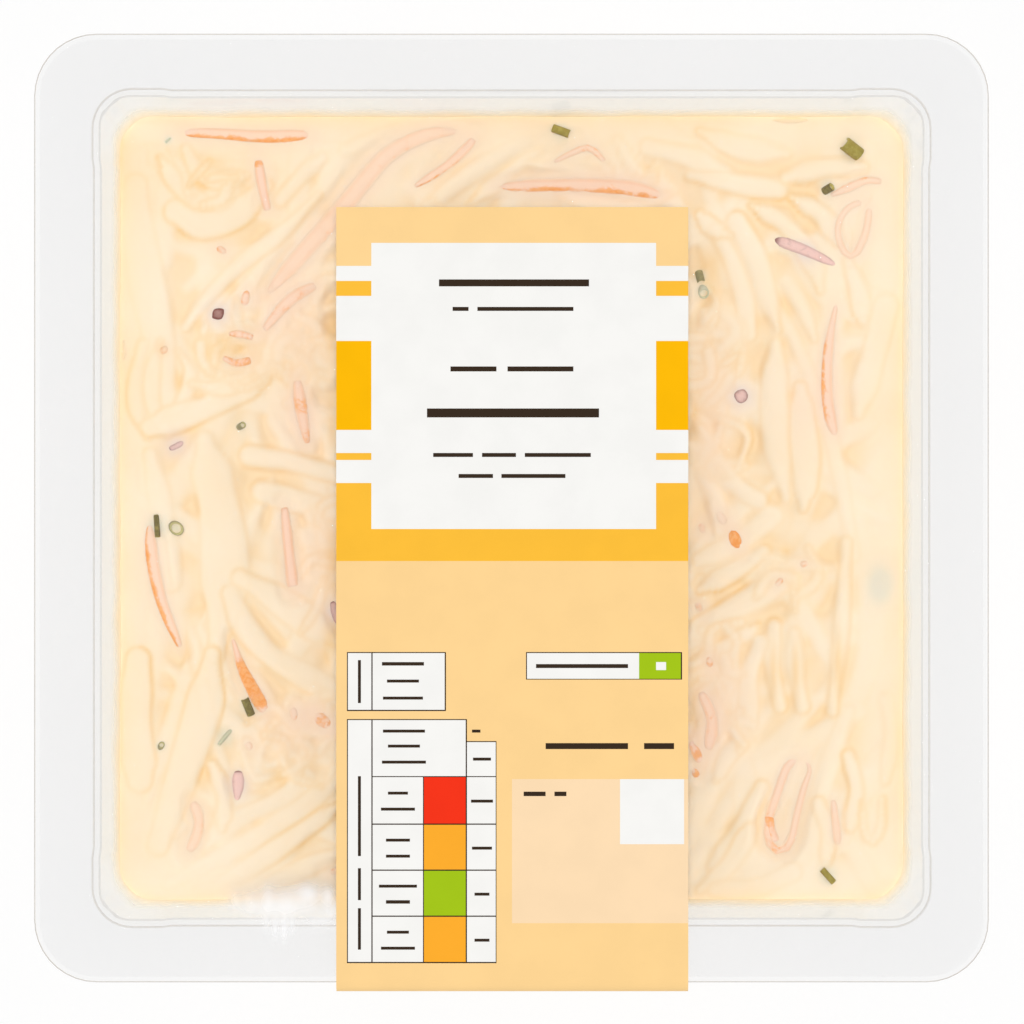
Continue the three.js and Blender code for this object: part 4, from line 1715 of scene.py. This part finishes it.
def label_piece():
    """A flat strip cut along every printed edge, inked, wrapped round the pack and thickened."""
    path = label_path()
    length = path[-1, 0]
    fields = []
    for left, top, right, bottom, name in top_fields():
        x0, y0 = below_view(left, top)
        x1, y1 = below_view(right, bottom)
        fields.append((x0, LABEL_REAR_TOP - y0, x1, LABEL_REAR_TOP - y1, name))
    width = label_high.x - label_low.x
    middle = (label_high.x + label_low.x) / 2
    bpy.ops.mesh.primitive_plane_add(size=1, location=(middle, length / 2, 0))
    piece = bpy.context.object
    piece.scale = (width, length, 1)
    bpy.ops.object.transform_apply(location=True, rotation=True, scale=True)
    piece.name = piece.data.name = "paper_label"
    across = sorted({round(edge, 7) for field in fields for edge in (field[0], field[2])})
    down = sorted({round(edge, 7) for field in fields for edge in (field[1], field[3])})
    down += [round(station, 7) for station in path[1:-1, 0]]
    bpy.ops.object.mode_set(mode="EDIT")
    for edges, normal in ((across, (1, 0, 0)), (down, (0, 1, 0))):
        for edge in edges:
            bpy.ops.mesh.select_all(action="SELECT")
            bpy.ops.mesh.bisect(plane_co=Vector(normal) * edge, plane_no=normal)
    bpy.ops.object.mode_set(mode="OBJECT")
    for name, tone in INKS.items():
        piece.data.materials.append(print_finish(name, tone))
    inks = list(INKS)
    for face in piece.data.polygons:
        x, s, _ = face.center
        for x0, s0, x1, s1, name in fields:
            if x0 < x < x1 and s0 < s < s1:
                face.material_index = inks.index(name)
    for vertex in piece.data.vertices:
        y, z = [np.interp(vertex.co.y, path[:, 0], path[:, i]) for i in (1, 2)]
        vertex.co = (vertex.co.x, y, z)
    bpy.ops.object.mode_set(mode="EDIT")
    face_outwards()
    on_top = min(piece.data.polygons, key=lambda polygon: (polygon.center - label_high).length)
    paper = piece.modifiers.new("paper", "SOLIDIFY")
    paper.thickness = LABEL_THICK
    paper.offset = 1 if on_top.normal.z > 0 else -1
    bpy.ops.object.modifier_apply(modifier="paper")
    bpy.ops.object.mode_set(mode="EDIT")
    face_outwards()
    shade(piece, 30)
    return piece


# ---- stage ----
def make_sky():
    """Even light, brighter towards the horizon."""
    sky = Finish("studio", bpy.data.worlds.new("studio"))
    way = sky.add("ShaderNodeTexCoord", {}, {}, "Generated")
    horizon = sky.height(way).ramped(0.55, 0.3)
    strength = 0.44 + horizon * 0.6
    light = sky.add("ShaderNodeBackground", {}, {"Color": WHITE, "Strength": strength})
    sky.add("ShaderNodeOutputWorld", {}, {"Surface": light})
    sky.material.cycles.sampling_method = "NONE"
    return sky.material


def overhead_light():
    """Falls straight down past the label's edges, and leaves no reflection in the film."""
    light = bpy.data.lights.new("overhead", "SUN")
    light.energy = 2.1
    light.angle = math.radians(12)
    lamp = bpy.data.objects.new("overhead", light)
    lamp.location = (0, 0, 2)
    lamp.visible_glossy = False
    bpy.context.collection.objects.link(lamp)


FLOOR_DARK = (0.1, 0.1, 0.1, 1)
FLOOR_LIGHT = (0.12, 0.12, 0.12, 1)
FLOOR_GLOW = (0.845, 0.845, 0.845, 1)  # so that it shows nearly white, with faint shadows


def make_stage():
    bpy.ops.mesh.primitive_plane_add(size=6)
    floor = bpy.context.object
    floor.name = "floor"
    finish = Finish("floor")
    grain = finish.noise(60 * MM, 2.0)
    base = finish.mix(grain, FLOOR_DARK, FLOOR_LIGHT)
    floor.data.materials.append(finish.surface(finish.principled(
        Base_Color=base, Roughness=0.8, Emission_Color=FLOOR_GLOW, Emission_Strength=1.0,
    )))
    bpy.context.scene.world = make_sky()
    overhead_light()
    view = bpy.context.scene.view_settings
    view.view_transform = "Standard"
    view.look = "None"


def make_camera():
    """Straight above the pack, framed so that the flange takes up FLANGE_PIXELS."""
    data = bpy.data.cameras.new("from_above")
    data.sensor_width = SENSOR / MM
    data.lens = data.sensor_width * FLANGE_PIXELS / VIEW_SIZE * EYE_HEIGHT / (2 * FLANGE_X)
    camera = bpy.data.objects.new("from_above", data)
    camera.location = (EYE_X, EYE_Y, TOP + EYE_HEIGHT)
    bpy.context.collection.objects.link(camera)
    bpy.context.scene.camera = camera


# ---- assembly ----
make_camera()
make_stage()
press_filling_on_sides()
press_onion_on_walls()
show(finished(dressing_piece(), dressing_finish()), "slaw", "slaw")
show(finished(chives_piece(), chive_finish()), "chive")
for heap in (cabbage_heap, carrot_heap, onion_heap):
    points = np.vstack(heap.points)
    for name, numbers in tints(points).items():
        heap.values[name] = [numbers]
show(finished(onion_heap.build("slaw_onion"), onion_finish()), "onion")
show(finished(cabbage_heap.build("slaw_cabbage"), cabbage_finish()), "slaw")
show(finished(carrot_heap.build("slaw_carrot"), carrot_finish()), "carrot")
tray_plastic = clear_finish("tray_plastic", 0.97, 0.07, 0.075, 0.08, smeared=True)
sealing_film = clear_finish("sealing_film", 1.0, 0.075, 0.01, 0.1)
far_skin = unlit_clear_finish()
for piece, clear, node in (
    (tray_piece(), tray_plastic, "tray"), (film_piece(), sealing_film, "film"),
):
    show(finished(piece, clear), node, node)
    clear_far_skin(piece, far_skin)
show(label_piece(), "label", "label")
